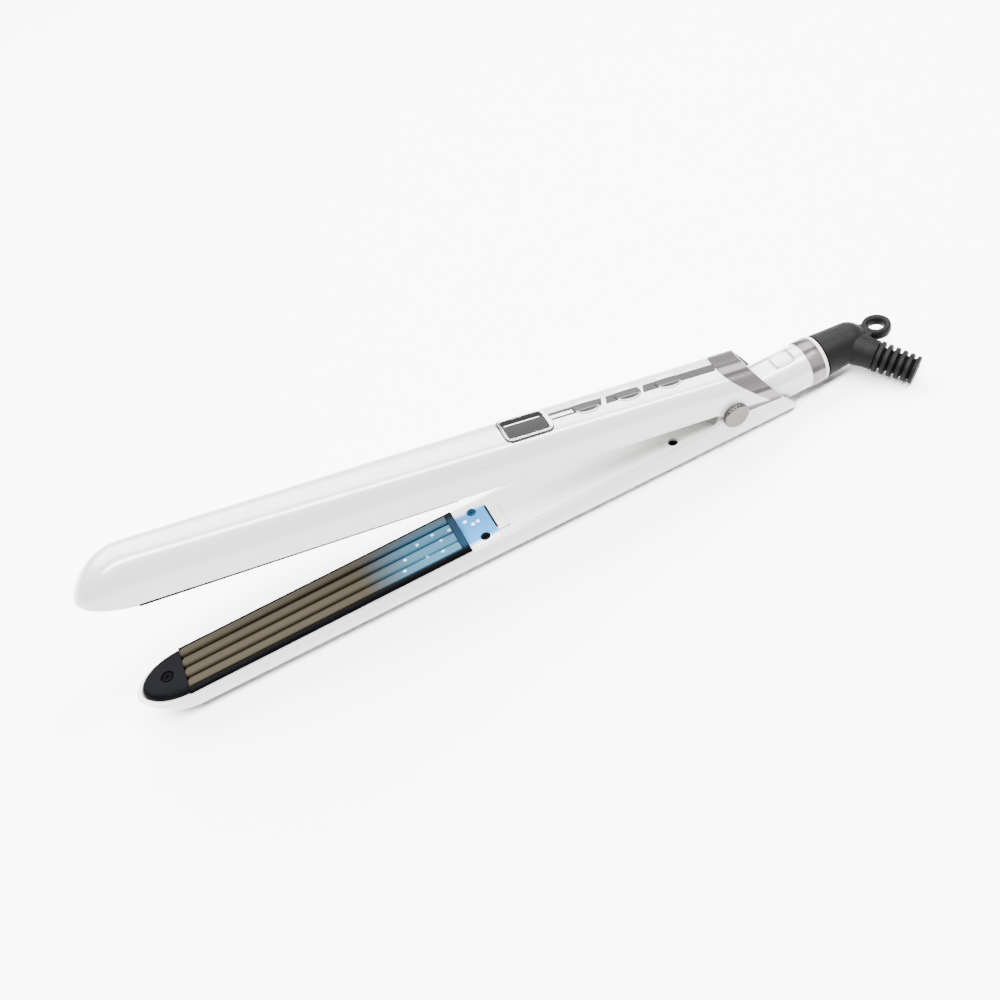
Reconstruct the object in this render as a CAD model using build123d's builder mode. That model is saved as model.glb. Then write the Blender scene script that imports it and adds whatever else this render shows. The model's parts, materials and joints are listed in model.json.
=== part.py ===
"""Hair crimper: two hinged arms with ridged heating plates, a display, three buttons, a lock slider
and a swivelling cord outlet. The crimper lies on its lower arm and stands open.

Millimetres. +X runs from the tip to the cord outlet, +Z is up, and y = 0 is the plane that halves both
arms. x = 0 is at the front edge of the plates and z = 0 is the surface the lower arm lies on.
The upper arm's pieces are drawn closed, then swung up about the hinge into the open position.
"""

import os
from math import cos, radians, sin, sqrt, tan

from build123d import *

os.makedirs("parts", exist_ok=True)

# Arms
PARTING_Z = 17.0          # plane on which the closed plates meet
RIM_GAP = 2.8             # shell rim to parting plane
SHELL_WALL = 1.8
TIP_REACH = 19.5          # shell nose in front of the plates
HALF_WIDTH_FRONT = 11.2   # at x = 0
HALF_WIDTH_REAR = 12.3    # at x = TAPER_LENGTH
CREASE_FRONT = 5.1        # half width of the crowned back
CREASE_REAR = 8.0
HEIGHT_FRONT = 18.2       # crease of the upper arm above the parting plane
HEIGHT_REAR = 15.0
CROWN = 1.5               # rise of the back between its creases
LOWER_HEIGHT = 16.7       # crease of the lower arm below the parting plane
LOWER_CROWN = 0.8         # planed flat where it would pass below z = 0
TAPER_LENGTH = 220.0
SIDE_FULLNESS = 0.69
NOSE_BLUNTNESS = 1.6
UPPER, LOWER = 1, -1

# Hinge
HINGE_X = 225.0
HINGE_Z = PARTING_Z + 1.4
OPEN_ANGLE = 12.0
HINGE_AXIS = Axis((HINGE_X, 0, HINGE_Z), (0, 1, 0))
PIN_RADIUS = 2.0
PIN_HOLE_RADIUS = 2.05
CAP_RADIUS = 5.2
CAP_FROM, CAP_TO = 12.6, 14.8
SEAM_DROP = 1.8           # seam between the arms' rear ends, below the hinge centre
SEAM_SLOPE = 7.0          # of that seam while open
SEAM_GAP = 0.35
SKIRT = 9.0               # how far the rear walls are drawn past the rim before the seam trims them

# Heating plates
PLATE_LENGTH = 110.0
PLATE_HALF_WIDTH = 9.4
HOLDER_HALF_WIDTH = 10.15
RIDGES = 4
RIDGE_PITCH = 5.0
RIDGE_DEPTH = 1.7
RIDGE_CROWN = 0.5         # fall from a ridge's middle to its shoulders
GROOVE_WIDTH = 1.2
MESH_GAP = 0.35           # between the closed plates
PLATE_BODY = 1.0          # metal below the valleys
CAP_REACH = 16.7          # black tip caps in front of the plates
HOLDER_REAR = 3.0         # black strip behind the plates

# Controls on the upper arm
DISPLAY_X = 143.7
DISPLAY_LENGTH, DISPLAY_WIDTH = 18.7, 12.2
DISPLAY_BEZEL = 1.5
PROUD = 0.25              # how far trims stand above the back
STRIP_START, STRIP_END = 154.0, 217.0
STRIP_HALF_WIDTH = 2.0
BUTTON_XS = (168.0, 185.0, 202.0)
BUTTON_LENGTH, BUTTON_WIDTH = 10.5, 7.2
BUTTON_GAP = 0.25
BUTTON_TRAVEL = 0.5
FLANGE_Z = PARTING_Z + 13.2
BOARD_Z = PARTING_Z + 8.0
BOARD_THICKNESS = 1.2
SWITCH_HEIGHT = 1.6

# Neck and cord outlet
NECK_RADIUS = 9.2
NECK_Z = 12.0
NECK_START, NECK_END = 231.6, 262.0
NECK_BORE = 6.6
RING_END, COLLAR_END = 267.9, 269.4
SWIVEL_RADIUS = 5.12
SWIVEL_BORE = 5.2
FLANGE_START, FLANGE_THICKNESS = 258.7, 2.8      # keeps the swivel inside the neck
ELBOW_START = 269.8
ELBOW_START_RADIUS, ELBOW_RADIUS = 9.0, 7.9
ELBOW_BEND = 57.2           # between the neck's axis and the leg
ELBOW_DROOP = 13.9          # how far the leg hangs below the level, about the neck's axis
ELBOW_BALL_X = 283.6
ELBOW_CORNER_X = 282.0
ELBOW_LEG = 13.6
LEG_RADIUS = 6.1
CORD_RADIUS = 2.6
PASSAGE_RADIUS = 3.2
LOOP_X = 297.4
LOOP_RADIUS, LOOP_HOLE = 5.8, 3.0
LOOP_THICKNESS = 4.4
RELIEF_LENGTH = 16.3
RELIEF_RIBS = 6
RIB_PITCH, RIB_THICKNESS = 2.9, 1.35

NOSE_STATIONS = (-19.3, -18.0, -15.0, -10.0, -5.0, 0.0)
NOSE_STATIONS_INSIDE = (-17.0, -15.0, -10.0, -5.0, 0.0)
REAR_STATION = 262.0


def blend(x, front, rear):
    return front + (rear - front) * x / TAPER_LENGTH


def half_width(x):
    """Outer half width of both arms at their rims."""
    if x >= 0:
        return blend(x, HALF_WIDTH_FRONT, HALF_WIDTH_REAR)
    return HALF_WIDTH_FRONT * sqrt(1 - (x / TIP_REACH) ** 2)


def inner_half_width(x):
    return half_width(x) - SHELL_WALL - 0.1


def across(x):
    """Plane square to the arms: its x runs along +Y and its y along +Z from the parting plane."""
    return Plane(origin=(x, 0, PARTING_Z), x_dir=(0, 1, 0), z_dir=(1, 0, 0))


def arm_section(x, side, wall=0.0, skirt=0.05):
    """Section of one arm at x. A wall moves the outline inward; a skirt lengthens it past the rim."""
    roundness = sqrt(1 - (min(x, 0) / TIP_REACH) ** 2)
    back = max(x, 0)
    full = blend(back, HEIGHT_FRONT, HEIGHT_REAR) if side == UPPER else LOWER_HEIGHT
    crown = CROWN if side == UPPER else LOWER_CROWN
    height = RIM_GAP + (full - RIM_GAP) * roundness**NOSE_BLUNTNESS - wall
    half = half_width(x) - wall
    crease = blend(back, CREASE_FRONT, CREASE_REAR) * roundness - 0.45 * wall
    crown *= roundness
    fullness = RIM_GAP + (SIDE_FULLNESS * full - RIM_GAP) * roundness**NOSE_BLUNTNESS
    rim, edge = side * RIM_GAP, side * (RIM_GAP - skirt)
    with BuildSketch(across(x), mode=Mode.PRIVATE) as section:
        with BuildLine():
            Bezier((half, rim), (half, side * fullness), (crease, side * height))
            ThreePointArc((crease, side * height), (0, side * (height + crown)), (-crease, side * height))
            Bezier((-crease, side * height), (-half, side * fullness), (-half, rim))
            Polyline((-half, rim), (-half, edge), (half, edge), (half, rim))
        make_face()
    return section.sketch.face()


def nose(side, stations, wall=0.0, skirt=0.05):
    return [arm_section(x, side, wall, skirt) for x in stations]


def ellipse_nose(reach, half, level, thickness):
    """Half-elliptic plan outline in front of x = 0, extruded up from a level."""
    with BuildPart(mode=Mode.PRIVATE) as shape:
        with BuildSketch(Plane.XY.offset(level)):
            Ellipse(reach, half)
            with Locations((reach / 2, 0)):
                Rectangle(reach, 3 * half, mode=Mode.SUBTRACT)
        extrude(amount=thickness)
    return shape.part


def swing_open(piece):
    """Turn a closed piece of the upper arm into its open position."""
    add(piece.part.rotate(HINGE_AXIS, OPEN_ANGLE), mode=Mode.REPLACE)


def seam_outline(drop, slope, reach=60.0):
    """Side outline of everything above the seam, in front of and behind the hinge."""
    level = HINGE_Z - drop
    fall = reach * tan(radians(slope))
    return [(HINGE_X, level), (HINGE_X + reach, level - fall), (HINGE_X + reach, 120), (HINGE_X, 120)]


def plate_section(side):
    """Section of a plate: broad rounded ridges with narrow grooves below, matching ribs above."""
    rise = 0 if side == LOWER else MESH_GAP
    flat = side * PLATE_UNDERSIDE
    half_groove = GROOVE_WIDTH / 2
    with BuildSketch(across(0), mode=Mode.PRIVATE) as section:
        with BuildLine():
            for i in range(RIDGES):
                start = (i - RIDGES / 2) * RIDGE_PITCH + half_groove
                end = start + RIDGE_PITCH - GROOVE_WIDTH
                shoulder = rise - RIDGE_CROWN
                ThreePointArc((start, shoulder), ((start + end) / 2, rise), (end, shoulder))
                if i < RIDGES - 1:
                    valley = (end + half_groove, rise - RIDGE_DEPTH)
                    Polyline((end, shoulder), valley, (end + GROOVE_WIDTH, shoulder))
            edge = RIDGES * RIDGE_PITCH / 2 - half_groove
            Polyline((edge, rise - RIDGE_CROWN), (edge, flat), (-edge, flat), (-edge, rise - RIDGE_CROWN))
        make_face()
    return section.sketch.face()


# ---------------------------------------------------------------------------------------------- shells

with BuildPart() as lower_shell:
    loft(sections=nose(LOWER, NOSE_STATIONS))
    loft(sections=[arm_section(x, LOWER) for x in (0, REAR_STATION)], ruled=True)
    loft(sections=[arm_section(x, LOWER, skirt=SKIRT) for x in (HINGE_X - 6, REAR_STATION)], ruled=True)
    loft(sections=nose(LOWER, NOSE_STATIONS_INSIDE, SHELL_WALL, 1), mode=Mode.SUBTRACT)
    loft(
        sections=[arm_section(x, LOWER, SHELL_WALL, SKIRT + 1) for x in (0, REAR_STATION + 1)],
        ruled=True,
        mode=Mode.SUBTRACT,
    )
    with Locations((HINGE_X / 2, 0, -5)):
        Box(400, 60, 10, mode=Mode.SUBTRACT)
    with BuildSketch(Plane.XZ):
        with BuildLine():
            level = HINGE_Z - SEAM_DROP
            Polyline((HINGE_X - 7, level), *seam_outline(SEAM_DROP, SEAM_SLOPE)[:3], (HINGE_X - 7, 120),
                     close=True)
        make_face()
    extrude(amount=20, both=True, mode=Mode.SUBTRACT)
    with BuildSketch(Plane.XZ):
        with BuildLine():
            Polyline((246.0, 30), (246.0, PARTING_Z - 3.0), (252.9, PARTING_Z - 10.9), (254.2, -1), (280, -1),
                     (280, 30), close=True)
        make_face()
    extrude(amount=20, both=True, mode=Mode.SUBTRACT)
    with Locations(Location((HINGE_X, 0, HINGE_Z), (90, 0, 0))):
        Cylinder(PIN_RADIUS + 0.6, 30, mode=Mode.SUBTRACT)
lower_shell.part.label = "lower_shell"
export_step(lower_shell.part, "parts/lower_shell.step")

with BuildPart() as upper_shell:
    loft(sections=nose(UPPER, NOSE_STATIONS))
    loft(sections=[arm_section(x, UPPER) for x in (0, REAR_STATION)], ruled=True)
    loft(sections=[arm_section(x, UPPER, skirt=SKIRT) for x in (HINGE_X - 1, REAR_STATION)], ruled=True)
    loft(sections=nose(UPPER, NOSE_STATIONS_INSIDE, SHELL_WALL, 1), mode=Mode.SUBTRACT)
    loft(
        sections=[arm_section(x, UPPER, SHELL_WALL, SKIRT + 1) for x in (0, REAR_STATION + 1)],
        ruled=True,
        mode=Mode.SUBTRACT,
    )
    with BuildSketch(Plane.XZ):
        with BuildLine():
            drop = SEAM_DROP - SEAM_GAP
            rise = 60 * tan(radians(OPEN_ANGLE - SEAM_SLOPE))
            Polyline((HINGE_X - 2, HINGE_Z - drop), (HINGE_X, HINGE_Z - drop),
                     (HINGE_X + 60, HINGE_Z - drop + rise), (HINGE_X + 60, -20), (HINGE_X - 2, -20), close=True)
        make_face()
    extrude(amount=20, both=True, mode=Mode.SUBTRACT)
    with BuildSketch(Plane.XZ):
        with BuildLine():
            Polyline((216.3, PARTING_Z + 20), (245.5, PARTING_Z - 1), (290, PARTING_Z - 1), (290, PARTING_Z + 20),
                     close=True)
        make_face()
    extrude(amount=20, both=True, mode=Mode.SUBTRACT)
    with BuildSketch(Plane.XY.offset(PARTING_Z + 10)):
        with Locations((DISPLAY_X, 0)):
            RectangleRounded(DISPLAY_LENGTH + 0.1, DISPLAY_WIDTH + 0.1, 2.5)
        with Locations(((STRIP_START + STRIP_END) / 2, 0)):
            Rectangle(STRIP_END - STRIP_START + 0.1, 2 * STRIP_HALF_WIDTH + 0.1)
        with Locations(*[(x, 0) for x in BUTTON_XS]):
            Ellipse(BUTTON_LENGTH / 2 + BUTTON_GAP, BUTTON_WIDTH / 2 + BUTTON_GAP)
    extrude(amount=20, mode=Mode.SUBTRACT)
    with Locations(Location((HINGE_X, 0, HINGE_Z), (90, 0, 0))):
        Cylinder(PIN_RADIUS + 0.6, 30, mode=Mode.SUBTRACT)
    swing_open(upper_shell)
upper_shell.part.label = "upper_shell"
export_step(upper_shell.part, "parts/upper_shell.step")

with BuildPart() as rear_trim:
    loft(sections=[arm_section(x, UPPER, skirt=SKIRT) for x in (200, REAR_STATION)], ruled=True)
    loft(
        sections=[arm_section(x, UPPER, SHELL_WALL, SKIRT + 1) for x in (199, REAR_STATION + 1)],
        ruled=True,
        mode=Mode.SUBTRACT,
    )
    with BuildSketch(Plane.XZ):
        with BuildLine():
            Polyline((216.5, PARTING_Z + 20), (241.3, PARTING_Z + 2.1), (246.0, PARTING_Z + 2.2),
                     (229.3, PARTING_Z + 20), close=True)
        make_face()
    extrude(amount=20, both=True, mode=Mode.INTERSECT)
    swing_open(rear_trim)
rear_trim.part.label = "rear_trim"
export_step(rear_trim.part, "parts/rear_trim.step")

# ---------------------------------------------------------------------------------------- tips, plates


def tip_cap(side):
    """Black ogive closing the nose of an arm, with a countersunk screw seat."""
    top, bottom = PARTING_Z + side * 0.5, PARTING_Z + side * (RIM_GAP - 0.05)
    with BuildPart(mode=Mode.PRIVATE) as cap:
        add(ellipse_nose(CAP_REACH, HOLDER_HALF_WIDTH, min(top, bottom), abs(top - bottom)))
        with Locations(Location((-6.6, 0, top), (0, 0, 0) if side == LOWER else (180, 0, 0))):
            Hole(1.15, 20)
            CounterBoreHole(1.15, 2.4, 1.4, 20)
    return cap.part


with BuildPart() as lower_tip_cap:
    add(tip_cap(LOWER))
lower_tip_cap.part.label = "lower_tip_cap"
export_step(lower_tip_cap.part, "parts/lower_tip_cap.step")

with BuildPart() as upper_tip_cap:
    add(tip_cap(UPPER))
    swing_open(upper_tip_cap)
upper_tip_cap.part.label = "upper_tip_cap"
export_step(upper_tip_cap.part, "parts/upper_tip_cap.step")

HOLDER_DEPTH = 7.0
PLATE_UNDERSIDE = RIDGE_DEPTH + PLATE_BODY


def plate_holder(side):
    """Black tray around a plate: side skirts, rear strip and a pocket for plate and heater."""
    near, far = 0.3, HOLDER_DEPTH
    low = PARTING_Z + (near if side == UPPER else -far)
    high = PARTING_Z + (far if side == UPPER else -near)
    length = PLATE_LENGTH + HOLDER_REAR
    with BuildPart(mode=Mode.PRIVATE) as holder:
        with BuildSketch(Plane.XY.offset(low)):
            with Locations((length / 2, 0)):
                Rectangle(length, 2 * (HALF_WIDTH_FRONT - SHELL_WALL - 0.4))
        extrude(amount=high - low)
        with BuildSketch(Plane.XY.offset(PARTING_Z + side * near)):
            with Locations((length / 2, 0)):
                Rectangle(length, 2 * HOLDER_HALF_WIDTH)
        extrude(amount=side * (RIM_GAP - 0.1 - near))
        with BuildSketch(Plane.XY.offset(PARTING_Z + side * near)):
            with Locations((PLATE_LENGTH / 2, 0)):
                Rectangle(PLATE_LENGTH + 0.1, 2 * PLATE_HALF_WIDTH + 0.1)
        extrude(amount=side * (PLATE_UNDERSIDE - near), mode=Mode.SUBTRACT)
        with BuildSketch(Plane.XY.offset(PARTING_Z + side * PLATE_UNDERSIDE)):
            with Locations((PLATE_LENGTH / 2, 0)):
                Rectangle(PLATE_LENGTH - 20, 14.2)
        extrude(amount=side * 2.2, mode=Mode.SUBTRACT)
    return holder.part


with BuildPart() as lower_plate_holder:
    add(plate_holder(LOWER))
lower_plate_holder.part.label = "lower_plate_holder"
export_step(lower_plate_holder.part, "parts/lower_plate_holder.step")

with BuildPart() as upper_plate_holder:
    add(plate_holder(UPPER))
    swing_open(upper_plate_holder)
upper_plate_holder.part.label = "upper_plate_holder"
export_step(upper_plate_holder.part, "parts/upper_plate_holder.step")

with BuildPart() as lower_crimp_plate:
    extrude(to_extrude=plate_section(LOWER), amount=PLATE_LENGTH)
lower_crimp_plate.part.label = "lower_crimp_plate"
export_step(lower_crimp_plate.part, "parts/lower_crimp_plate.step")

with BuildPart() as upper_crimp_plate:
    extrude(to_extrude=plate_section(UPPER), amount=PLATE_LENGTH)
    swing_open(upper_crimp_plate)
upper_crimp_plate.part.label = "upper_crimp_plate"
export_step(upper_crimp_plate.part, "parts/upper_crimp_plate.step")


def heater(side):
    """Flat ceramic heater lying against the back of a plate."""
    level = PARTING_Z + side * PLATE_UNDERSIDE
    with BuildPart(mode=Mode.PRIVATE) as strip:
        with BuildSketch(Plane.XY.offset(level)):
            with Locations((PLATE_LENGTH / 2, 0)):
                RectangleRounded(PLATE_LENGTH - 22, 13.0, 1.0)
        extrude(amount=side * 1.9)
    return strip.part


with BuildPart() as lower_heater:
    add(heater(LOWER))
lower_heater.part.label = "lower_heater"
export_step(lower_heater.part, "parts/lower_heater.step")

with BuildPart() as upper_heater:
    add(heater(UPPER))
    swing_open(upper_heater)
upper_heater.part.label = "upper_heater"
export_step(upper_heater.part, "parts/upper_heater.step")

# ----------------------------------------------------------------------------- inner faces of the arms

WINDOW_START, WINDOW_END = PLATE_LENGTH + HOLDER_REAR + 0.2, 125.4
COVER_END = 217.0
COVER_THICKNESS = 1.6
SLOT_X, SLOT_LENGTH, SLOT_HALF_WIDTH = 128.0, 4.6, 7.3
WINDOW_SCREWS = ((120.1, 7.0), (120.1, -7.0))
COVER_SCREWS = ((200.4, 7.5), (200.4, -7.5))
TIP_SCREW = (-6.6, 0.0)


def cover_outline(start, end):
    """Plan of a lid that drops between the shell walls."""
    front, rear = inner_half_width(start), inner_half_width(end)
    return [(start, -front), (end, -rear), (end, rear), (start, front)]


def screw(x, y, head_top, side):
    """Cross-head screw seen from the parting plane, standing into the arm."""
    down = side
    with BuildPart(mode=Mode.PRIVATE) as piece:
        with BuildSketch(Plane.XY.offset(head_top)):
            with Locations((x, y)):
                Circle(1.9)
        extrude(amount=down * 1.2)
        with BuildSketch(Plane.XY.offset(head_top)):
            with Locations((x, y)):
                Rectangle(2.2, 0.5)
                Rectangle(0.5, 2.2)
        extrude(amount=down * 0.5, mode=Mode.SUBTRACT)
        with BuildSketch(Plane.XY.offset(head_top + down * 1.2)):
            with Locations((x, y)):
                Circle(1.1)
        extrude(amount=down * 6)
    return piece.part


with BuildPart() as light_window:
    with BuildSketch(Plane.XY.offset(PARTING_Z - RIM_GAP)):
        with BuildLine():
            Polyline(*cover_outline(WINDOW_START, WINDOW_END), close=True)
        make_face()
        with Locations(*WINDOW_SCREWS):
            Circle(1.95, mode=Mode.SUBTRACT)
    extrude(amount=-COVER_THICKNESS)
light_window.part.label = "light_window"
export_step(light_window.part, "parts/light_window.step")

with BuildPart() as ion_outlet:
    with BuildSketch(Plane.XY.offset(PARTING_Z - RIM_GAP + 0.6)):
        with Locations((SLOT_X, 0)):
            RectangleRounded(SLOT_LENGTH, 2 * SLOT_HALF_WIDTH, 1.0)
    extrude(amount=-7)
    with BuildSketch(Plane.XY.offset(PARTING_Z - RIM_GAP + 0.6)):
        with Locations((SLOT_X - SLOT_LENGTH / 2, 0.7)):
            Rectangle(1.4, 2 * SLOT_HALF_WIDTH - 2.8)
    extrude(amount=-8, mode=Mode.SUBTRACT)
ion_outlet.part.label = "ion_outlet"
export_step(ion_outlet.part, "parts/ion_outlet.step")

with BuildPart() as ion_generator:
    with BuildSketch(Plane.XY.offset(PARTING_Z - 14.6)):
        with Locations((148, 0)):
            RectangleRounded(24, 12, 1.5)
    extrude(amount=7.5)
    with BuildSketch(Plane.YZ.offset(129.5)):
        with Locations((0, PARTING_Z - 11.5)):
            Circle(0.6)
    extrude(amount=7)
ion_generator.part.label = "ion_generator"
export_step(ion_generator.part, "parts/ion_generator.step")

with BuildPart() as led_board:
    with BuildSketch(Plane.XY.offset(PARTING_Z - 7.2)):
        with Locations((119.8, 0)):
            Rectangle(7.0, 9.0)
    extrude(amount=1.0)
    with Locations(*[(119.8, y, PARTING_Z - 5.7) for y in (-3, 0, 3)]):
        Box(1.6, 1.6, 1.0)
led_board.part.label = "led_board"
export_step(led_board.part, "parts/led_board.step")

with BuildPart() as lower_cover:
    with BuildSketch(Plane.XY.offset(PARTING_Z - RIM_GAP)):
        with BuildLine():
            Polyline(*cover_outline(WINDOW_END + 0.1, COVER_END), close=True)
        make_face()
        with Locations((SLOT_X, 0)):
            Rectangle(SLOT_LENGTH + 0.1, 2 * SLOT_HALF_WIDTH + 0.1, mode=Mode.SUBTRACT)
    extrude(amount=-COVER_THICKNESS)
    with BuildSketch(Plane.XY.offset(PARTING_Z - RIM_GAP - COVER_THICKNESS)):
        with Locations(*COVER_SCREWS):
            Circle(2.6)
    extrude(amount=-2.4)
    with Locations(*[(x, y, PARTING_Z - RIM_GAP) for x, y in COVER_SCREWS]):
        CounterBoreHole(1.2, 2.0, 2.4, 20)
lower_cover.part.label = "lower_cover"
export_step(lower_cover.part, "parts/lower_cover.step")

with BuildPart() as upper_cover:
    with BuildSketch(Plane.XY.offset(PARTING_Z + RIM_GAP)):
        with BuildLine():
            Polyline(*cover_outline(PLATE_LENGTH + HOLDER_REAR + 0.2, COVER_END), close=True)
        make_face()
    extrude(amount=COVER_THICKNESS)
    with BuildSketch(Plane.XY.offset(PARTING_Z + RIM_GAP + COVER_THICKNESS)):
        with Locations(*COVER_SCREWS):
            Circle(2.6)
    extrude(amount=2.4)
    with BuildSketch(Plane.XY.offset(PARTING_Z + RIM_GAP)):
        with Locations(*COVER_SCREWS):
            Circle(2.0)
    extrude(amount=2.4, mode=Mode.SUBTRACT)
    with BuildSketch(Plane.XY.offset(PARTING_Z + RIM_GAP)):
        with Locations(*COVER_SCREWS):
            Circle(1.2)
    extrude(amount=20, mode=Mode.SUBTRACT)
    swing_open(upper_cover)
upper_cover.part.label = "upper_cover"
export_step(upper_cover.part, "parts/upper_cover.step")

with BuildPart() as lower_screws:
    add(screw(*TIP_SCREW, PARTING_Z - 0.6, LOWER))
    for x, y in WINDOW_SCREWS:
        add(screw(x, y, PARTING_Z - RIM_GAP - 0.2, LOWER))
    for x, y in COVER_SCREWS:
        add(screw(x, y, PARTING_Z - RIM_GAP - 1.2, LOWER))
lower_screws.part.label = "lower_screws"
export_step(lower_screws.part, "parts/lower_screws.step")

with BuildPart() as upper_screws:
    add(screw(*TIP_SCREW, PARTING_Z + 0.6, UPPER))
    for x, y in COVER_SCREWS:
        add(screw(x, y, PARTING_Z + RIM_GAP + 1.2, UPPER))
    swing_open(upper_screws)
upper_screws.part.label = "upper_screws"
export_step(upper_screws.part, "parts/upper_screws.step")

# --------------------------------------------------------------------------------------------- controls


def back_surface(proud):
    """Sections of a solid whose top follows the upper arm's back at a small offset."""
    return [arm_section(x, UPPER, wall=-proud) for x in (100, REAR_STATION)]


with BuildPart() as display_frame:
    with BuildSketch(Plane.XY.offset(PARTING_Z + 13.2)):
        with Locations((DISPLAY_X, 0)):
            RectangleRounded(DISPLAY_LENGTH, DISPLAY_WIDTH, 2.5)
            RectangleRounded(
                DISPLAY_LENGTH - 2 * DISPLAY_BEZEL, DISPLAY_WIDTH - 2 * DISPLAY_BEZEL, 1.2, mode=Mode.SUBTRACT
            )
    extrude(amount=8)
    loft(sections=back_surface(2 * PROUD), ruled=True, mode=Mode.INTERSECT)
    swing_open(display_frame)
display_frame.part.label = "display_frame"
export_step(display_frame.part, "parts/display_frame.step")

with BuildPart() as display_glass:
    with BuildSketch(Plane.XY.offset(PARTING_Z + 14.6)):
        with Locations((DISPLAY_X, 0)):
            RectangleRounded(
                DISPLAY_LENGTH - 2 * DISPLAY_BEZEL - 0.1, DISPLAY_WIDTH - 2 * DISPLAY_BEZEL - 0.1, 1.15
            )
    extrude(amount=8)
    loft(sections=back_surface(PROUD / 2), ruled=True, mode=Mode.INTERSECT)
    swing_open(display_glass)
display_glass.part.label = "display_glass"
export_step(display_glass.part, "parts/display_glass.step")

with BuildPart() as display_panel:
    with Locations((DISPLAY_X, 0, BOARD_Z + BOARD_THICKNESS + 1.6)):
        Box(17.0, 11.4, 1.8)
    swing_open(display_panel)
display_panel.part.label = "display_panel"
export_step(display_panel.part, "parts/display_panel.step")

with BuildPart() as button_strip:
    with BuildSketch(Plane.XY.offset(PARTING_Z + 14.2)):
        with Locations(((STRIP_START + STRIP_END) / 2, 0)):
            Rectangle(STRIP_END - STRIP_START, 2 * STRIP_HALF_WIDTH)
        with Locations(*[(x, 0) for x in BUTTON_XS]):
            Ellipse(BUTTON_LENGTH / 2 + BUTTON_GAP, BUTTON_WIDTH / 2 + BUTTON_GAP, mode=Mode.SUBTRACT)
    extrude(amount=8)
    loft(sections=back_surface(PROUD), ruled=True, mode=Mode.INTERSECT)
    swing_open(button_strip)
button_strip.part.label = "button_strip"
export_step(button_strip.part, "parts/button_strip.step")


def button(x):
    """Oval button that follows the back, with a retaining flange and a plunger above its switch."""
    plunger_end = BOARD_Z + BOARD_THICKNESS + SWITCH_HEIGHT + BUTTON_TRAVEL + 0.1
    with BuildPart(mode=Mode.PRIVATE) as piece:
        with BuildSketch(Plane.XY.offset(FLANGE_Z)):
            with Locations((x, 0)):
                Ellipse(BUTTON_LENGTH / 2, BUTTON_WIDTH / 2)
        extrude(amount=8)
        loft(sections=back_surface(3 * PROUD), ruled=True, mode=Mode.INTERSECT)
        with BuildSketch(Plane.XY.offset(FLANGE_Z)):
            with Locations((x, 0)):
                Rectangle(BUTTON_LENGTH + 1.6, 6.0)
        extrude(amount=0.8)
        with BuildSketch(Plane.XY.offset(plunger_end)):
            with Locations((x, 0)):
                Circle(1.6)
        extrude(amount=FLANGE_Z + 0.1 - plunger_end)
    return piece.part


with BuildPart() as front_button:
    add(button(BUTTON_XS[0]))
    swing_open(front_button)
front_button.part.label = "front_button"
export_step(front_button.part, "parts/front_button.step")

with BuildPart() as middle_button:
    add(button(BUTTON_XS[1]))
    swing_open(middle_button)
middle_button.part.label = "middle_button"
export_step(middle_button.part, "parts/middle_button.step")

with BuildPart() as rear_button:
    add(button(BUTTON_XS[2]))
    swing_open(rear_button)
rear_button.part.label = "rear_button"
export_step(rear_button.part, "parts/rear_button.step")

with BuildPart() as control_board:
    with BuildSketch(Plane.XY.offset(BOARD_Z)):
        with Locations((171.5, 0)):
            RectangleRounded(77, 12, 1.5)
    extrude(amount=BOARD_THICKNESS)
    with Locations((150, 0, BOARD_Z - 0.6), (186, 0, BOARD_Z - 0.6)):
        Box(8, 7, 1.2)
    swing_open(control_board)
control_board.part.label = "control_board"
export_step(control_board.part, "parts/control_board.step")

with BuildPart() as tact_switches:
    with BuildSketch(Plane.XY.offset(BOARD_Z + BOARD_THICKNESS)):
        with Locations(*[(x, 0) for x in BUTTON_XS]):
            Rectangle(5, 5)
    extrude(amount=SWITCH_HEIGHT - 0.6)
    with BuildSketch(Plane.XY.offset(BOARD_Z + BOARD_THICKNESS + SWITCH_HEIGHT - 0.6)):
        with Locations(*[(x, 0) for x in BUTTON_XS]):
            Circle(1.5)
    extrude(amount=0.6)
    swing_open(tact_switches)
tact_switches.part.label = "tact_switches"
export_step(tact_switches.part, "parts/tact_switches.step")

# ------------------------------------------------------------------------------------------------ hinge

LOWER_LUG = (8.7, 10.1)
UPPER_LUG = (6.6, 8.4)
LUG_RADIUS = 4.2

with BuildPart() as lower_bracket:
    with BuildSketch(Plane.XZ):
        with BuildLine():
            Polyline((212, PARTING_Z - 8), (229.4, PARTING_Z - 8), (229.4, HINGE_Z), (220.6, HINGE_Z),
                     (218, PARTING_Z - 5.5), (212, PARTING_Z - 5.5), close=True)
        make_face()
        with Locations((HINGE_X, HINGE_Z)):
            Circle(LUG_RADIUS + 0.2)
            Circle(PIN_RADIUS, mode=Mode.SUBTRACT)
    extrude(amount=LOWER_LUG[1], both=True)
    with BuildSketch(Plane.XZ):
        with Locations((HINGE_X, HINGE_Z)):
            Rectangle(40, 2 * 6.4)
    extrude(amount=LOWER_LUG[0], both=True, mode=Mode.SUBTRACT)
    with BuildSketch(Plane.XY.offset(PARTING_Z - 12.5)):
        with Locations((230.5, 0)):
            Rectangle(2.2, 2 * 8.0)
    extrude(amount=11.0)
    with Locations((230, 0, NECK_Z)):
        Box(6, 8, 7, mode=Mode.SUBTRACT)
lower_bracket.part.label = "lower_bracket"
export_step(lower_bracket.part, "parts/lower_bracket.step")

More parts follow.
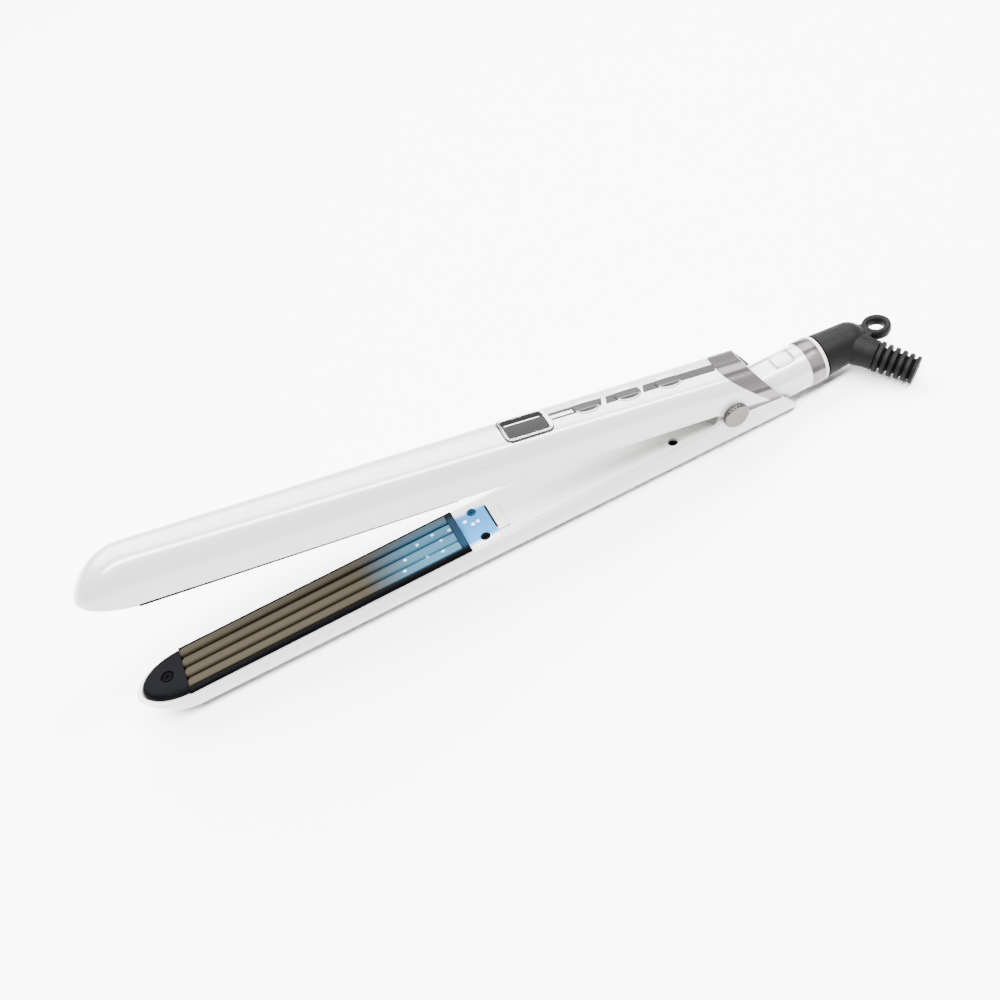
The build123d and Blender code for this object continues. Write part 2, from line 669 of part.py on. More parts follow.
with BuildPart() as upper_bracket:
    with BuildSketch(Plane.XZ):
        with BuildLine():
            Polyline((212, PARTING_Z + 8.6), (229.0, PARTING_Z + 8.6), (229.0, HINGE_Z), (221.0, HINGE_Z),
                     (218, PARTING_Z + 6.8), (212, PARTING_Z + 6.8), close=True)
        make_face()
        with Locations((HINGE_X, HINGE_Z)):
            Circle(LUG_RADIUS)
            Circle(PIN_HOLE_RADIUS, mode=Mode.SUBTRACT)
    extrude(amount=UPPER_LUG[1], both=True)
    with BuildSketch(Plane.XZ):
        with Locations((HINGE_X, HINGE_Z)):
            Rectangle(40, 2 * 5.4)
    extrude(amount=UPPER_LUG[0], both=True, mode=Mode.SUBTRACT)
    swing_open(upper_bracket)
upper_bracket.part.label = "upper_bracket"
export_step(upper_bracket.part, "parts/upper_bracket.step")

with BuildPart() as hinge_pin:
    with BuildSketch(Plane.XZ):
        with Locations((HINGE_X, HINGE_Z)):
            Circle(PIN_RADIUS)
    extrude(amount=CAP_FROM, both=True)
hinge_pin.part.label = "hinge_pin"
export_step(hinge_pin.part, "parts/hinge_pin.step")

with BuildPart() as hinge_caps:
    for side in (-1, 1):
        with BuildSketch(Plane(origin=(HINGE_X, side * CAP_FROM, HINGE_Z), z_dir=(0, side, 0))):
            Circle(CAP_RADIUS)
        extrude(amount=CAP_TO - CAP_FROM)
    fillet(hinge_caps.edges().group_by(Axis.Y)[0], 0.5)
    fillet(hinge_caps.edges().group_by(Axis.Y)[-1], 0.5)
hinge_caps.part.label = "hinge_caps"
export_step(hinge_caps.part, "parts/hinge_caps.step")

SPRING_RADIUS, SPRING_WIRE, SPRING_PITCH, SPRING_LENGTH = 3.2, 0.45, 1.3, 9.1

with BuildPart() as torsion_spring:
    with BuildLine() as coil:
        Helix(SPRING_PITCH, SPRING_LENGTH, SPRING_RADIUS, center=(HINGE_X, -SPRING_LENGTH / 2, HINGE_Z),
              direction=(0, 1, 0))
    with BuildSketch(Plane(coil.line @ 0, z_dir=coil.line % 0)):
        Circle(SPRING_WIRE)
    sweep()
torsion_spring.part.label = "torsion_spring"
export_step(torsion_spring.part, "parts/torsion_spring.step")

# ------------------------------------------------------------------------------------- neck and outlet


def lengthwise(x):
    """Plane square to the neck's axis at x."""
    return Plane(origin=(x, 0, NECK_Z), x_dir=(0, 1, 0), z_dir=(1, 0, 0))


RECESS_START, RECESS_END, RECESS_HALF_WIDTH = 241.0, 258.0, 4.1
RECESS_FLOOR = PARTING_Z + 2.6
SLIDER_START, SLIDER_LENGTH = 250.0, 7.2

with BuildPart() as neck:
    with BuildSketch(lengthwise(NECK_START)):
        Circle(NECK_RADIUS)
        Circle(NECK_BORE, mode=Mode.SUBTRACT)
    extrude(amount=NECK_END - NECK_START)
    with BuildSketch(Plane.XY.offset(RECESS_FLOOR)):
        with Locations(((RECESS_START + RECESS_END) / 2, 0)):
            RectangleRounded(RECESS_END - RECESS_START, 2 * RECESS_HALF_WIDTH, 1.0)
    extrude(amount=5, mode=Mode.SUBTRACT)
    with BuildSketch(Plane.XY.offset(RECESS_FLOOR)):
        with Locations((SLIDER_START + SLIDER_LENGTH / 2, 0)):
            Rectangle(6.6, 2.8)
    extrude(amount=-4, mode=Mode.SUBTRACT)
neck.part.label = "neck"
export_step(neck.part, "parts/neck.step")

with BuildPart() as lock_slider:
    with BuildSketch(lengthwise(SLIDER_START)):
        Circle(NECK_RADIUS - 0.05)
    extrude(amount=SLIDER_LENGTH)
    with BuildSketch(Plane.XY.offset(RECESS_FLOOR + 0.05)):
        with Locations((SLIDER_START + SLIDER_LENGTH / 2, 0)):
            RectangleRounded(SLIDER_LENGTH, 2 * RECESS_HALF_WIDTH - 0.4, 1.4)
    extrude(amount=5, mode=Mode.INTERSECT)
    with BuildSketch(Plane.XY.offset(RECESS_FLOOR + 0.1)):
        with Locations((SLIDER_START + 5.5, 0)):
            Rectangle(2.2, 2.4)
    extrude(amount=-2.2)
    with BuildSketch(Plane.XY.offset(RECESS_FLOOR - 2.1)):
        with Locations((SLIDER_START + SLIDER_LENGTH / 2, 0)):
            Rectangle(5.0, 5.0)
    extrude(amount=-1.0)
lock_slider.part.label = "lock_slider"
export_step(lock_slider.part, "parts/lock_slider.step")

with BuildPart() as neck_ring:
    with BuildSketch(lengthwise(NECK_END)):
        Circle(NECK_RADIUS + 0.35)
        Circle(SWIVEL_BORE, mode=Mode.SUBTRACT)
    extrude(amount=RING_END - NECK_END)
neck_ring.part.label = "neck_ring"
export_step(neck_ring.part, "parts/neck_ring.step")

with BuildPart() as neck_collar:
    with BuildSketch(lengthwise(RING_END)):
        Circle(NECK_RADIUS)
        Circle(SWIVEL_BORE, mode=Mode.SUBTRACT)
    extrude(amount=COLLAR_END - RING_END)
neck_collar.part.label = "neck_collar"
export_step(neck_collar.part, "parts/neck_collar.step")

BEND, DROOP = radians(ELBOW_BEND), radians(ELBOW_DROOP)
LEG_DIRECTION = Vector(cos(BEND), -sin(BEND) * cos(DROOP), -sin(BEND) * sin(DROOP))
ELBOW_CORNER = Vector(ELBOW_CORNER_X, 0, NECK_Z)


def along_leg(distance):
    """Plane square to the elbow's leg, at a distance from its corner."""
    return Plane(origin=ELBOW_CORNER + LEG_DIRECTION * distance, z_dir=LEG_DIRECTION)


with BuildPart() as swivel_elbow:
    with BuildSketch(Plane(origin=(0, 0, NECK_Z), x_dir=(1, 0, 0), z_dir=(0, -1, 0))):
        with BuildLine():
            Polyline(
                (ELBOW_BALL_X + ELBOW_RADIUS, 0), (ELBOW_START, 0),
                (ELBOW_START, ELBOW_START_RADIUS), (ELBOW_BALL_X, ELBOW_RADIUS),
            )
            CenterArc((ELBOW_BALL_X, 0), ELBOW_RADIUS, 0, 90)
        make_face()
    revolve(axis=Axis((0, 0, NECK_Z), (1, 0, 0)))
    with BuildSketch(along_leg(0)):
        Circle(LEG_RADIUS)
    extrude(amount=ELBOW_LEG)
    with BuildSketch(Plane.XY.offset(NECK_Z - LOOP_THICKNESS / 2)):
        with Locations((LOOP_X, 0)):
            Circle(LOOP_RADIUS)
        with Locations(((ELBOW_BALL_X + LOOP_X) / 2 + 0.5, 0)):
            Rectangle(LOOP_X - ELBOW_BALL_X - 3, 8.5)
        with Locations((LOOP_X, 0)):
            Circle(LOOP_HOLE, mode=Mode.SUBTRACT)
    extrude(amount=LOOP_THICKNESS)
    with BuildSketch(lengthwise(FLANGE_START)):
        Circle(NECK_BORE - 0.4)
    extrude(amount=FLANGE_THICKNESS)
    with BuildSketch(lengthwise(FLANGE_START + 1)):
        Circle(SWIVEL_RADIUS)
    extrude(amount=ELBOW_START - FLANGE_START - 0.5)
    with BuildSketch(lengthwise(FLANGE_START - 1)):
        Circle(PASSAGE_RADIUS)
    extrude(amount=ELBOW_CORNER_X - FLANGE_START + 1, mode=Mode.SUBTRACT)
    with Locations(ELBOW_CORNER):
        Sphere(PASSAGE_RADIUS, mode=Mode.SUBTRACT)
    with BuildSketch(along_leg(0)):
        Circle(PASSAGE_RADIUS)
    extrude(amount=ELBOW_LEG + 1, mode=Mode.SUBTRACT)
swivel_elbow.part.label = "swivel_elbow"
export_step(swivel_elbow.part, "parts/swivel_elbow.step")

with BuildPart() as strain_relief:
    with BuildSketch(along_leg(ELBOW_LEG)):
        Circle(4.5)
    with BuildSketch(along_leg(ELBOW_LEG + RELIEF_LENGTH)):
        Circle(3.9)
    loft()
    for i in range(RELIEF_RIBS):
        with BuildSketch(along_leg(ELBOW_LEG + 0.4 + i * RIB_PITCH)):
            Circle(6.2 - 0.12 * i)
        extrude(amount=RIB_THICKNESS)
    with BuildSketch(along_leg(ELBOW_LEG)):
        Circle(CORD_RADIUS)
    extrude(amount=RELIEF_LENGTH, mode=Mode.SUBTRACT)
strain_relief.part.label = "strain_relief"
export_step(strain_relief.part, "parts/strain_relief.step")
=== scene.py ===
"""Looks of the hair crimper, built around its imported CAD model.

Shapes are worked out in millimetres in the CAD frame: +X from the tip to the cord outlet, +Z up and z = 0
on the table. Pieces of the upper arm are drawn closed, and their objects are then turned about the hinge
into the open position, so their object coordinates stay those of the closed arm.
"""

import json
from math import ceil, cos, pi, radians, sin, sqrt, tan

import bmesh
import bpy
from mathutils import Matrix, Vector

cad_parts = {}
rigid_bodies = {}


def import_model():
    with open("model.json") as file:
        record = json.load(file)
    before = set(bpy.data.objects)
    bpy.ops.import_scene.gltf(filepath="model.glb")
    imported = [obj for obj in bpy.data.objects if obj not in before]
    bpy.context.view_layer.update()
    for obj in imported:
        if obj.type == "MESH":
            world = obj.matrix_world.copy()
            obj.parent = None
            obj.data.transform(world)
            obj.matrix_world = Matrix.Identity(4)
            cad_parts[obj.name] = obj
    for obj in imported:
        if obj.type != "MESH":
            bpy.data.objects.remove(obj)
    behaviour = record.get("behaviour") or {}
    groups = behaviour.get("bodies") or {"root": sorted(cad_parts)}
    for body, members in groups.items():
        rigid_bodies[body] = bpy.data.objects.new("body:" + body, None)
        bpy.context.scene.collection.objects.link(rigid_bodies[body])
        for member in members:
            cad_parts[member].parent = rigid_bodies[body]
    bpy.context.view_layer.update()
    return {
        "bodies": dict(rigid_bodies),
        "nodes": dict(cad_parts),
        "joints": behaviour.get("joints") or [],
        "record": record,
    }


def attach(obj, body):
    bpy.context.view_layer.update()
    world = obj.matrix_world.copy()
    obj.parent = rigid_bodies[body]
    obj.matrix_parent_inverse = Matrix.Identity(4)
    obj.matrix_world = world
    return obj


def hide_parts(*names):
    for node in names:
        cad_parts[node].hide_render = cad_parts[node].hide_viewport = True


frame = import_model()

MM = 0.001

# Arms. Pairs hold the values at the front of the plates and at TAPER behind it. Widths and creases are
# measured from the centre plane, heights and the rim from the parting plane between the closed arms.
UPPER, LOWER = 1, -1
PARTING_Z = 17.0
RIM = 2.8
WALL = 1.8
REACH = 19.5
WIDTHS = (11.2, 12.3)
CREASES = (5.1, 8.0)
HEIGHTS = {UPPER: (18.2, 15.0), LOWER: (16.7, 16.7)}
CROWNS = {UPPER: 0.9, LOWER: 0.8}
TAPER = 220.0
FULLNESS = 0.69
BLUNTNESS = 1.6
SIDE_POINTS, BACK_POINTS = 16, 8
SOFT_FROM, SOFT_PASSES = 10, 7

# Hinge
HINGE = Vector((225.0, 0.0, 18.4))
OPEN_ANGLE = 12.0
CAP_RADIUS = 5.2
CAP_FACE_Y = 12.6
FLUTES = 24
SEAM_SLOPE = 7.0
SEAM_DROP = 1.8
SEAM_GAP = 0.35

# Plates
PLATE_LENGTH = 110.0
PLATE_HALF = 9.55
HOLDER_HALF = 10.15
HOLDER_REAR = 113.0
SKIRT_EDGES = {UPPER: 0.6, LOWER: 0.35}
FLANGE_PROUD = {UPPER: 0.13, LOWER: 0.35}
PITCH = 5.0
CREST_FALL = 0.42
GROOVE_DEPTH = 1.7
PLATE_UNDER = 2.7
PLATE_CLEARANCE = 0.35
TIP_REACH = 17.0
TIP_SCREW_X = -6.6

# Painted sparkles of light on the lower plate and on the window, as (x, y)
PLATE_SPARKS = (
    (109.1, 1.5), (102.6, 3.1), (104.6, -1.2), (95.9, 2.0),
    (103.3, -6.5), (97.2, -5.2), (89.3, -2.0), (87.4, -6.8),
)
WINDOW_SPARKS = ((116.1, 4.0), (120.6, 1.5), (118.4, 1.2))

# Outlet block behind the window
BLOCK_X = 127.95
BLOCK_HALF = (2.22, 7.3)

# Controls: the display is (middle, length, width, corner radius), the strip (start, end, half width)
DISPLAY = (143.6, 19.2, 12.8, 2.8)
BUTTONS = {"front": 168.0, "middle": 185.0, "rear": 202.0}
BUTTON_SIZE = (10.5, 7.2)
STRIP = (153.6, 223.0, 1.9)
STRIP_FORK = 163.3

# Neck and cord outlet
NECK_Z = 12.0
NECK_RADIUS = 9.2
NECK_BORE = 6.6
NECK_RUN = (231.6, 262.0)
RECESS_X, LOCK_X = 249.5, 253.6
RECESS_FLOOR = 2.6
SWIVEL_BORE, JOURNAL_RADIUS, PASSAGE, CORD_BORE = 5.2, 5.12, 3.2, 2.6
RING_END, COLLAR_END = 267.9, 269.4
FLANGE_START = 258.7
ELBOW_START, BALL_X, ELBOW_CORNER = 269.8, 283.6, 282.0
ELBOW_RADII = (9.0, 7.9)
ELBOW_BEND, ELBOW_DROOP = 57.2, 13.9
LEG_RADIUS, LEG_END, RELIEF_END = 6.1, 13.6, 29.9
RIBS, RIB_PITCH, RIB_WIDTH = 6, 2.9, 1.85
LOOP_X, LOOP_HOLE = 297.4, 3.0

OPEN = (
    Matrix.Translation(HINGE * MM)
    @ Matrix.Rotation(radians(OPEN_ANGLE), 4, "Y")
    @ Matrix.Translation(-HINGE * MM)
)
SWUNG = {"upper_arm", "front_key", "middle_key", "rear_key"}

# ------------------------------------------------------------------------------------------ materials

COAT_ROUGHNESS = 0.22
WARM_GREY = (1.0, 0.955, 0.96)
SATIN_GREY = (0.025, 0.025, 0.0255)


def new_material(name):
    """Empty node material, returned with its link function and a node maker."""
    made = bpy.data.materials.new(name)
    made.use_nodes = True
    tree = made.node_tree
    tree.nodes.clear()

    def node(kind, **values):
        n = tree.nodes.new(kind)
        for key, value in values.items():
            if key in n.inputs:
                n.inputs[key].default_value = value
            else:
                setattr(n, key, value)
        return n

    return made, tree.links.new, node


def surface(
    name, colour, roughness, metallic=0.0, coat=0.0, grain=300.0, bump=0.04, vary=0.06, wear=0.12, **extra
):
    """Opaque finish with cloudy colour variation, uneven gloss, fine bump and faint scratches."""
    made, link, node = new_material(name)
    place = node("ShaderNodeTexCoord")
    clouds = node("ShaderNodeTexNoise", Scale=45.0, Detail=5.0, Roughness=0.6)
    fine = node("ShaderNodeTexNoise", Scale=grain * 10, Detail=4.0, Roughness=0.55)
    stretch = node("ShaderNodeMapping")
    stretch.inputs["Scale"].default_value = (60.0, 2400.0, 2400.0)
    scratches = node("ShaderNodeTexNoise", Scale=1.0, Detail=3.0, Roughness=0.7)
    link(place.outputs["Object"], clouds.inputs["Vector"])
    link(place.outputs["Object"], fine.inputs["Vector"])
    link(place.outputs["Object"], stretch.inputs["Vector"])
    link(stretch.outputs["Vector"], scratches.inputs["Vector"])

    shade = node("ShaderNodeMapRange")
    shade.inputs["To Min"].default_value = 1.0 - vary
    shade.inputs["To Max"].default_value = 1.0 + vary * 0.4
    link(clouds.outputs["Fac"], shade.inputs["Value"])
    tint = node("ShaderNodeMix", data_type="RGBA", blend_type="MULTIPLY")
    tint.inputs["Factor"].default_value = 1.0
    tint.inputs["A"].default_value = (*colour, 1.0)
    link(shade.outputs["Result"], tint.inputs["B"])

    gloss = node("ShaderNodeMapRange")
    gloss.inputs["From Min"].default_value = 0.3
    gloss.inputs["From Max"].default_value = 0.75
    gloss.inputs["To Min"].default_value = max(roughness - wear * 0.3, 0.02)
    gloss.inputs["To Max"].default_value = min(roughness + wear, 1.0)
    link(scratches.outputs["Fac"], gloss.inputs["Value"])

    relief = node("ShaderNodeBump", Strength=bump, Distance=0.0002)
    link(fine.outputs["Fac"], relief.inputs["Height"])

    shader = node("ShaderNodeBsdfPrincipled", Metallic=metallic)
    shader.inputs["Coat Weight"].default_value = coat
    shader.inputs["Coat Roughness"].default_value = COAT_ROUGHNESS
    for key, value in extra.items():
        shader.inputs[key.replace("_", " ")].default_value = value
    link(tint.outputs["Result"], shader.inputs["Base Color"])
    link(gloss.outputs["Result"], shader.inputs["Roughness"])
    link(relief.outputs["Normal"], shader.inputs["Normal"])
    out = node("ShaderNodeOutputMaterial")
    link(shader.outputs["BSDF"], out.inputs["Surface"])
    return made


def tint_by(material, weight_builder, colour):
    """Mix another colour into a finish; the builder returns the socket with the mix weight."""
    tree = material.node_tree
    shader = next(n for n in tree.nodes if n.type == "BSDF_PRINCIPLED")
    before = shader.inputs["Base Color"].links[0].from_socket
    mix = tree.nodes.new("ShaderNodeMix")
    mix.data_type = "RGBA"
    mix.inputs["B"].default_value = (*colour, 1.0)
    tree.links.new(before, mix.inputs["A"])
    tree.links.new(weight_builder(tree), mix.inputs["Factor"])
    tree.links.new(mix.outputs["Result"], shader.inputs["Base Color"])


def coordinate(tree, axis):
    """Socket with one object coordinate in millimetres."""
    place = tree.nodes.new("ShaderNodeTexCoord")
    parts = tree.nodes.new("ShaderNodeSeparateXYZ")
    tree.links.new(place.outputs["Object"], parts.inputs["Vector"])
    scaled = tree.nodes.new("ShaderNodeMath")
    scaled.operation = "MULTIPLY"
    scaled.inputs[1].default_value = 1000.0
    tree.links.new(parts.outputs[axis], scaled.inputs[0])
    return scaled.outputs[0]


def remap(tree, value, low, high, to_low=0.0, to_high=1.0):
    """Socket that runs smoothly between two values as another runs between two limits."""
    ranged = tree.nodes.new("ShaderNodeMapRange")
    ranged.interpolation_type = "SMOOTHSTEP"
    for key, number in (("From Min", low), ("From Max", high), ("To Min", to_low), ("To Max", to_high)):
        ranged.inputs[key].default_value = number
    tree.links.new(value, ranged.inputs["Value"])
    return ranged.outputs["Result"]


def maths(tree, operation, *values):
    """Socket of a math node fed by sockets or numbers."""
    made = tree.nodes.new("ShaderNodeMath")
    made.operation = operation
    for socket, value in zip(made.inputs, values):
        if isinstance(value, (int, float)):
            socket.default_value = value
        else:
            tree.links.new(value, socket)
    return made.outputs[0]


def groove_shade_weight(tree):
    """Weight of the painted shade in the plate's grooves: one in the grooves and zero on its ridges."""
    y = coordinate(tree, "Y")
    turned = maths(tree, "WRAP", maths(tree, "ADD", y, PITCH / 2), PITCH, 0.0)
    off = maths(tree, "ABSOLUTE", maths(tree, "SUBTRACT", turned, PITCH / 2))
    return remap(tree, off, 0.4, 1.6, 1.0, 0.0)


def glow_weight(tree):
    """Weight of the painted blue light that spills over the rear of the plate, less on its far ridge."""
    along = remap(tree, coordinate(tree, "X"), 70.0, 102.0, 0.0, 0.85)
    across = remap(tree, coordinate(tree, "Y"), 3.5, 8.5, 1.0, 0.35)
    return maths(tree, "MULTIPLY", along, across)


def dots_weight(places, radius):
    """Builder of a weight that is one in soft round spots seen from above."""

    def build(tree):
        x, y = coordinate(tree, "X"), coordinate(tree, "Y")
        total = None
        for px, py in places:
            dx, dy = maths(tree, "SUBTRACT", x, px), maths(tree, "SUBTRACT", y, py)
            squares = maths(tree, "ADD", maths(tree, "MULTIPLY", dx, dx), maths(tree, "MULTIPLY", dy, dy))
            away = maths(tree, "SQRT", squares)
            spot = remap(tree, away, radius * 0.35, radius, 1.0, 0.0)
            total = spot if total is None else maths(tree, "MAXIMUM", total, spot)
        return total

    return build


def side_weight(inner, outer):
    """Builder of a weight that rises from zero inside to one outside a distance from the centre plane."""
    return lambda tree: remap(tree, maths(tree, "ABSOLUTE", coordinate(tree, "Y")), inner, outer)


def strip_weight(tree):
    """Weight of the silver strip where it runs across the buttons."""
    return remap(tree, maths(tree, "ABSOLUTE", coordinate(tree, "Y")), 1.5, 1.75, 1.0, 0.0)


def crescent_shade_weight(tree):
    """Weight of the painted shade, a crescent on the near flank of each button."""
    spacing = BUTTONS["middle"] - BUTTONS["front"]
    shifted = maths(tree, "ADD", coordinate(tree, "X"), spacing / 2 - BUTTONS["front"])
    x = maths(tree, "SUBTRACT", maths(tree, "WRAP", shifted, spacing, 0.0), spacing / 2)
    u = maths(tree, "DIVIDE", x, 4.4)
    v = maths(tree, "DIVIDE", maths(tree, "ADD", coordinate(tree, "Y"), 1.4), 1.9)
    away = maths(tree, "ADD", maths(tree, "MULTIPLY", u, u), maths(tree, "MULTIPLY", v, v))
    inside = remap(tree, away, 0.85, 1.05, 1.0, 0.0)
    near = remap(tree, coordinate(tree, "Y"), -1.8, -1.5, 1.0, 0.0)
    return maths(tree, "MULTIPLY", inside, near)


def window_weight(x_range, y_range, soft=0.25):
    """Builder of a weight that is one inside a rectangle seen from above."""

    def build(tree):
        total = None
        for axis, (low, high) in (("X", x_range), ("Y", y_range)):
            value = coordinate(tree, axis)
            rising = remap(tree, value, low - soft, low + soft)
            falling = remap(tree, value, high - soft, high + soft, 1.0, 0.0)
            inside = maths(tree, "MULTIPLY", rising, falling)
            total = inside if total is None else maths(tree, "MULTIPLY", total, inside)
        return total

    return build


def reflection_bands(material, centre_z, stops):
    """Multiply a finish by painted reflections: shades that depend on the angle about a lengthwise axis, in
    degrees from +Y.
    """
    tree = material.node_tree
    shader = next(n for n in tree.nodes if n.type == "BSDF_PRINCIPLED")
    before = shader.inputs["Base Color"].links[0].from_socket
    rise = maths(tree, "SUBTRACT", coordinate(tree, "Z"), centre_z)
    angle = maths(tree, "MULTIPLY", maths(tree, "ARCTAN2", rise, coordinate(tree, "Y")), 180 / pi)
    full = maths(tree, "WRAP", angle, 360.0, 0.0)
    ramp = tree.nodes.new("ShaderNodeValToRGB")
    elements = ramp.color_ramp.elements
    for number, (degrees, shade) in enumerate(stops):
        stop = elements[number] if number < 2 else elements.new(degrees / 360)
        stop.position = degrees / 360
        stop.color = (*[shade * tone for tone in WARM_GREY], 1.0)
    tree.links.new(maths(tree, "DIVIDE", full, 360.0), ramp.inputs["Fac"])
    mix = tree.nodes.new("ShaderNodeMix")
    mix.data_type, mix.blend_type = "RGBA", "MULTIPLY"
    mix.inputs["Factor"].default_value = 1.0
    tree.links.new(before, mix.inputs["A"])
    tree.links.new(ramp.outputs["Color"], mix.inputs["B"])
    tree.links.new(mix.outputs["Result"], shader.inputs["Base Color"])


WHITE = surface(
    "white_shell", (0.33, 0.33, 0.3245), 0.24, coat=1.0, grain=120, bump=0.012, vary=0.02, wear=0.05
)
INNER_WHITE = surface("inner_white", (0.4, 0.397, 0.388), 0.34, grain=260, bump=0.05, vary=0.03)
BUTTON_WHITE = surface(
    "button_white", (0.46, 0.46, 0.454), 0.3, bump=0.015, vary=0.02, Specular_IOR_Level=0.05
)
CREAM = surface("cream", (0.42, 0.4, 0.365), 0.42, grain=300, bump=0.05, vary=0.05)
CHROME = surface(
    "chrome", (0.62, 0.6, 0.605), 0.12, metallic=1.0, grain=150, bump=0.01, vary=0.04, wear=0.07
)
# Darker copy of chrome that paints shade on rows of the display's frame.
DARK_CHROME = surface(
    "dark_chrome", (0.022, 0.0215, 0.022), 0.35, grain=150, bump=0.01, vary=0.05, Specular_IOR_Level=0.05
)
TRIM = surface(
    "trim_chrome", (0.6, 0.57, 0.58), 0.25, metallic=0.1, grain=150, bump=0.01, vary=0.04,
    Specular_IOR_Level=0.1,
)
BAND = surface(
    "ring_chrome", (0.6, 0.57, 0.57), 0.25, metallic=0.1, grain=150, bump=0.01, vary=0.04,
    Specular_IOR_Level=0.15,
)
DISC = surface("disc_chrome", (0.095, 0.082, 0.082), 0.24, metallic=1.0, grain=200, bump=0.02, vary=0.1)
# Darker copy of the disc's finish that paints shade on its fluted wall.
DISC_WALL = surface("disc_wall", (0.03, 0.027, 0.027), 0.4, metallic=0.6, grain=200, bump=0.05, vary=0.2)
SATIN = surface("satin_inlay", SATIN_GREY, 0.35, bump=0.02, vary=0.06, Specular_IOR_Level=0.04)
BLACK = surface(
    "black_plastic", (0.0008, 0.0009, 0.0015), 0.4, grain=420, bump=0.12, vary=0.25, Specular_IOR_Level=0.018
)
RUBBER = surface(
    "black_rubber", (0.0034, 0.0034, 0.0036), 0.5, grain=420, bump=0.2, vary=0.3, Specular_IOR_Level=0.06
)
# Darker copy of the rubber that paints shade on the core between the ribs.
DEEP_RUBBER = surface(
    "deep_rubber", (0.001, 0.001, 0.001), 0.6, grain=420, bump=0.2, vary=0.3, Specular_IOR_Level=0.02
)
PLATE = surface(
    "plate_coating", (0.0215, 0.0175, 0.0118), 0.5, grain=380, bump=0.08, vary=0.14, Specular_IOR_Level=0.04
)
GLASS = surface(
    "display_glass", (0.0125, 0.0123, 0.0126), 0.15, bump=0.004, vary=0.1, wear=0.04, Specular_IOR_Level=0.02
)
STEEL = surface("dark_steel", (0.0005, 0.0005, 0.0008), 0.5, bump=0.05, Specular_IOR_Level=0.015)
BRIGHT_STEEL = surface("bright_steel", (0.55, 0.55, 0.56), 0.25, metallic=1.0, bump=0.05)
BOARD = surface("circuit_board", (0.02, 0.12, 0.05), 0.4, bump=0.1, vary=0.2)
NYLON = surface("nylon", (0.6, 0.595, 0.58), 0.55, bump=0.2, vary=0.05)
CERAMIC = surface("ceramic", (0.6, 0.57, 0.5), 0.6, bump=0.15, vary=0.1)
WINDOW = surface("blue_window", (0.014, 0.145, 0.35), 0.3, bump=0.02, vary=0.12, Specular_IOR_Level=0.05)

# Painted shade in the plate's grooves.
tint_by(PLATE, groove_shade_weight, (0.0075, 0.006, 0.0025))
# Painted pool of blue light over the rear of the plate.
tint_by(PLATE, glow_weight, (0.028, 0.088, 0.14))
# Painted sparkles of light on the plate.
tint_by(PLATE, dots_weight(PLATE_SPARKS, 0.9), (0.22, 0.4, 0.52))
# Painted blue light from the window on the rear of the black holders.
tint_by(BLACK, window_weight((109.5, 114.0), (-9.0, 7.0), 1.5), (0.004, 0.015, 0.03))
# Painted blue light from the window on the screw head beside it.
tint_by(STEEL, window_weight((117.0, 123.2), (4.0, 10.0)), (0.004, 0.026, 0.05))
tint_by(WINDOW, side_weight(6.5, 9.8), (0.56, 0.58, 0.6))
# Painted sparkles of light on the window.
tint_by(WINDOW, dots_weight(WINDOW_SPARKS, 1.0), (0.7, 0.8, 0.9))
# Painted reflections on the display glass: a darker band along its far side and a pale highlight line.
tint_by(GLASS, window_weight((130, 160), (2.4, 8.0)), (0.006, 0.006, 0.0065))
tint_by(GLASS, window_weight((136.4, 150.2), (1.85, 2.2), 0.12), (0.75, 0.75, 0.75))
tint_by(BUTTON_WHITE, strip_weight, SATIN_GREY)
# Painted shade: a dark crescent on each button's near flank.
tint_by(BUTTON_WHITE, crescent_shade_weight, (0.013, 0.013, 0.014))
# Painted reflections on the rear trim, in light and dark bands.
reflection_bands(TRIM, PARTING_Z + 2, (
    (0, 0.16), (50, 0.06), (88, 0.047), (91, 0.018), (95, 0.018), (98, 0.15), (108, 0.17), (111, 0.025),
    (115, 0.02), (118, 0.085), (148, 0.1), (151, 0.035), (155, 0.035), (159, 0.3), (172, 0.3), (176, 0.15),
    (190, 0.13),
))
# Painted reflections on the neck ring, in light and dark bands.
reflection_bands(BAND, NECK_Z, (
    (0, 0.06), (76, 0.03), (86, 0.12), (103, 0.17), (107, 0.05), (111, 0.045), (118, 0.13), (148, 0.12),
    (156, 0.045), (163, 0.045), (168, 0.26), (200, 0.3), (230, 0.2),
))

# --------------------------------------------------------------------------------------- mesh helpers


def loops_mesh(loops, cap_first=False, cap_last=False):
    """Mesh of quads between equally long closed loops of points; repeated points are merged."""
    bm = bmesh.new()
    rows = [[bm.verts.new(Vector(p) * MM) for p in loop] for loop in loops]
    for near, far in zip(rows, rows[1:]):
        for i in range(len(near)):
            j = (i + 1) % len(near)
            bm.faces.new((near[i], near[j], far[j], far[i]))
    if cap_first:
        bm.faces.new(rows[0])
    if cap_last:
        bm.faces.new(rows[-1])
    bmesh.ops.remove_doubles(bm, verts=bm.verts, dist=1e-7)
    bmesh.ops.recalc_face_normals(bm, faces=bm.faces)
    return bm


def cut(bm, point, direction):
    """Remove what lies beyond a plane and close the cut with a flat face."""
    geometry = bm.verts[:] + bm.edges[:] + bm.faces[:]
    bmesh.ops.bisect_plane(
        bm, geom=geometry, plane_co=Vector(point) * MM, plane_no=Vector(direction), clear_outer=True
    )
    bmesh.ops.holes_fill(bm, edges=[e for e in bm.edges if e.is_boundary], sides=0)
    bmesh.ops.recalc_face_normals(bm, faces=bm.faces)


def side_cut(bm, start, end):
    """Cut along a line drawn in side view from start to end; what lies to its right is removed."""
    (x0, z0), (x1, z1) = start, end
    cut(bm, (x0, 0, z0), (-(z1 - z0), 0, x1 - x0))


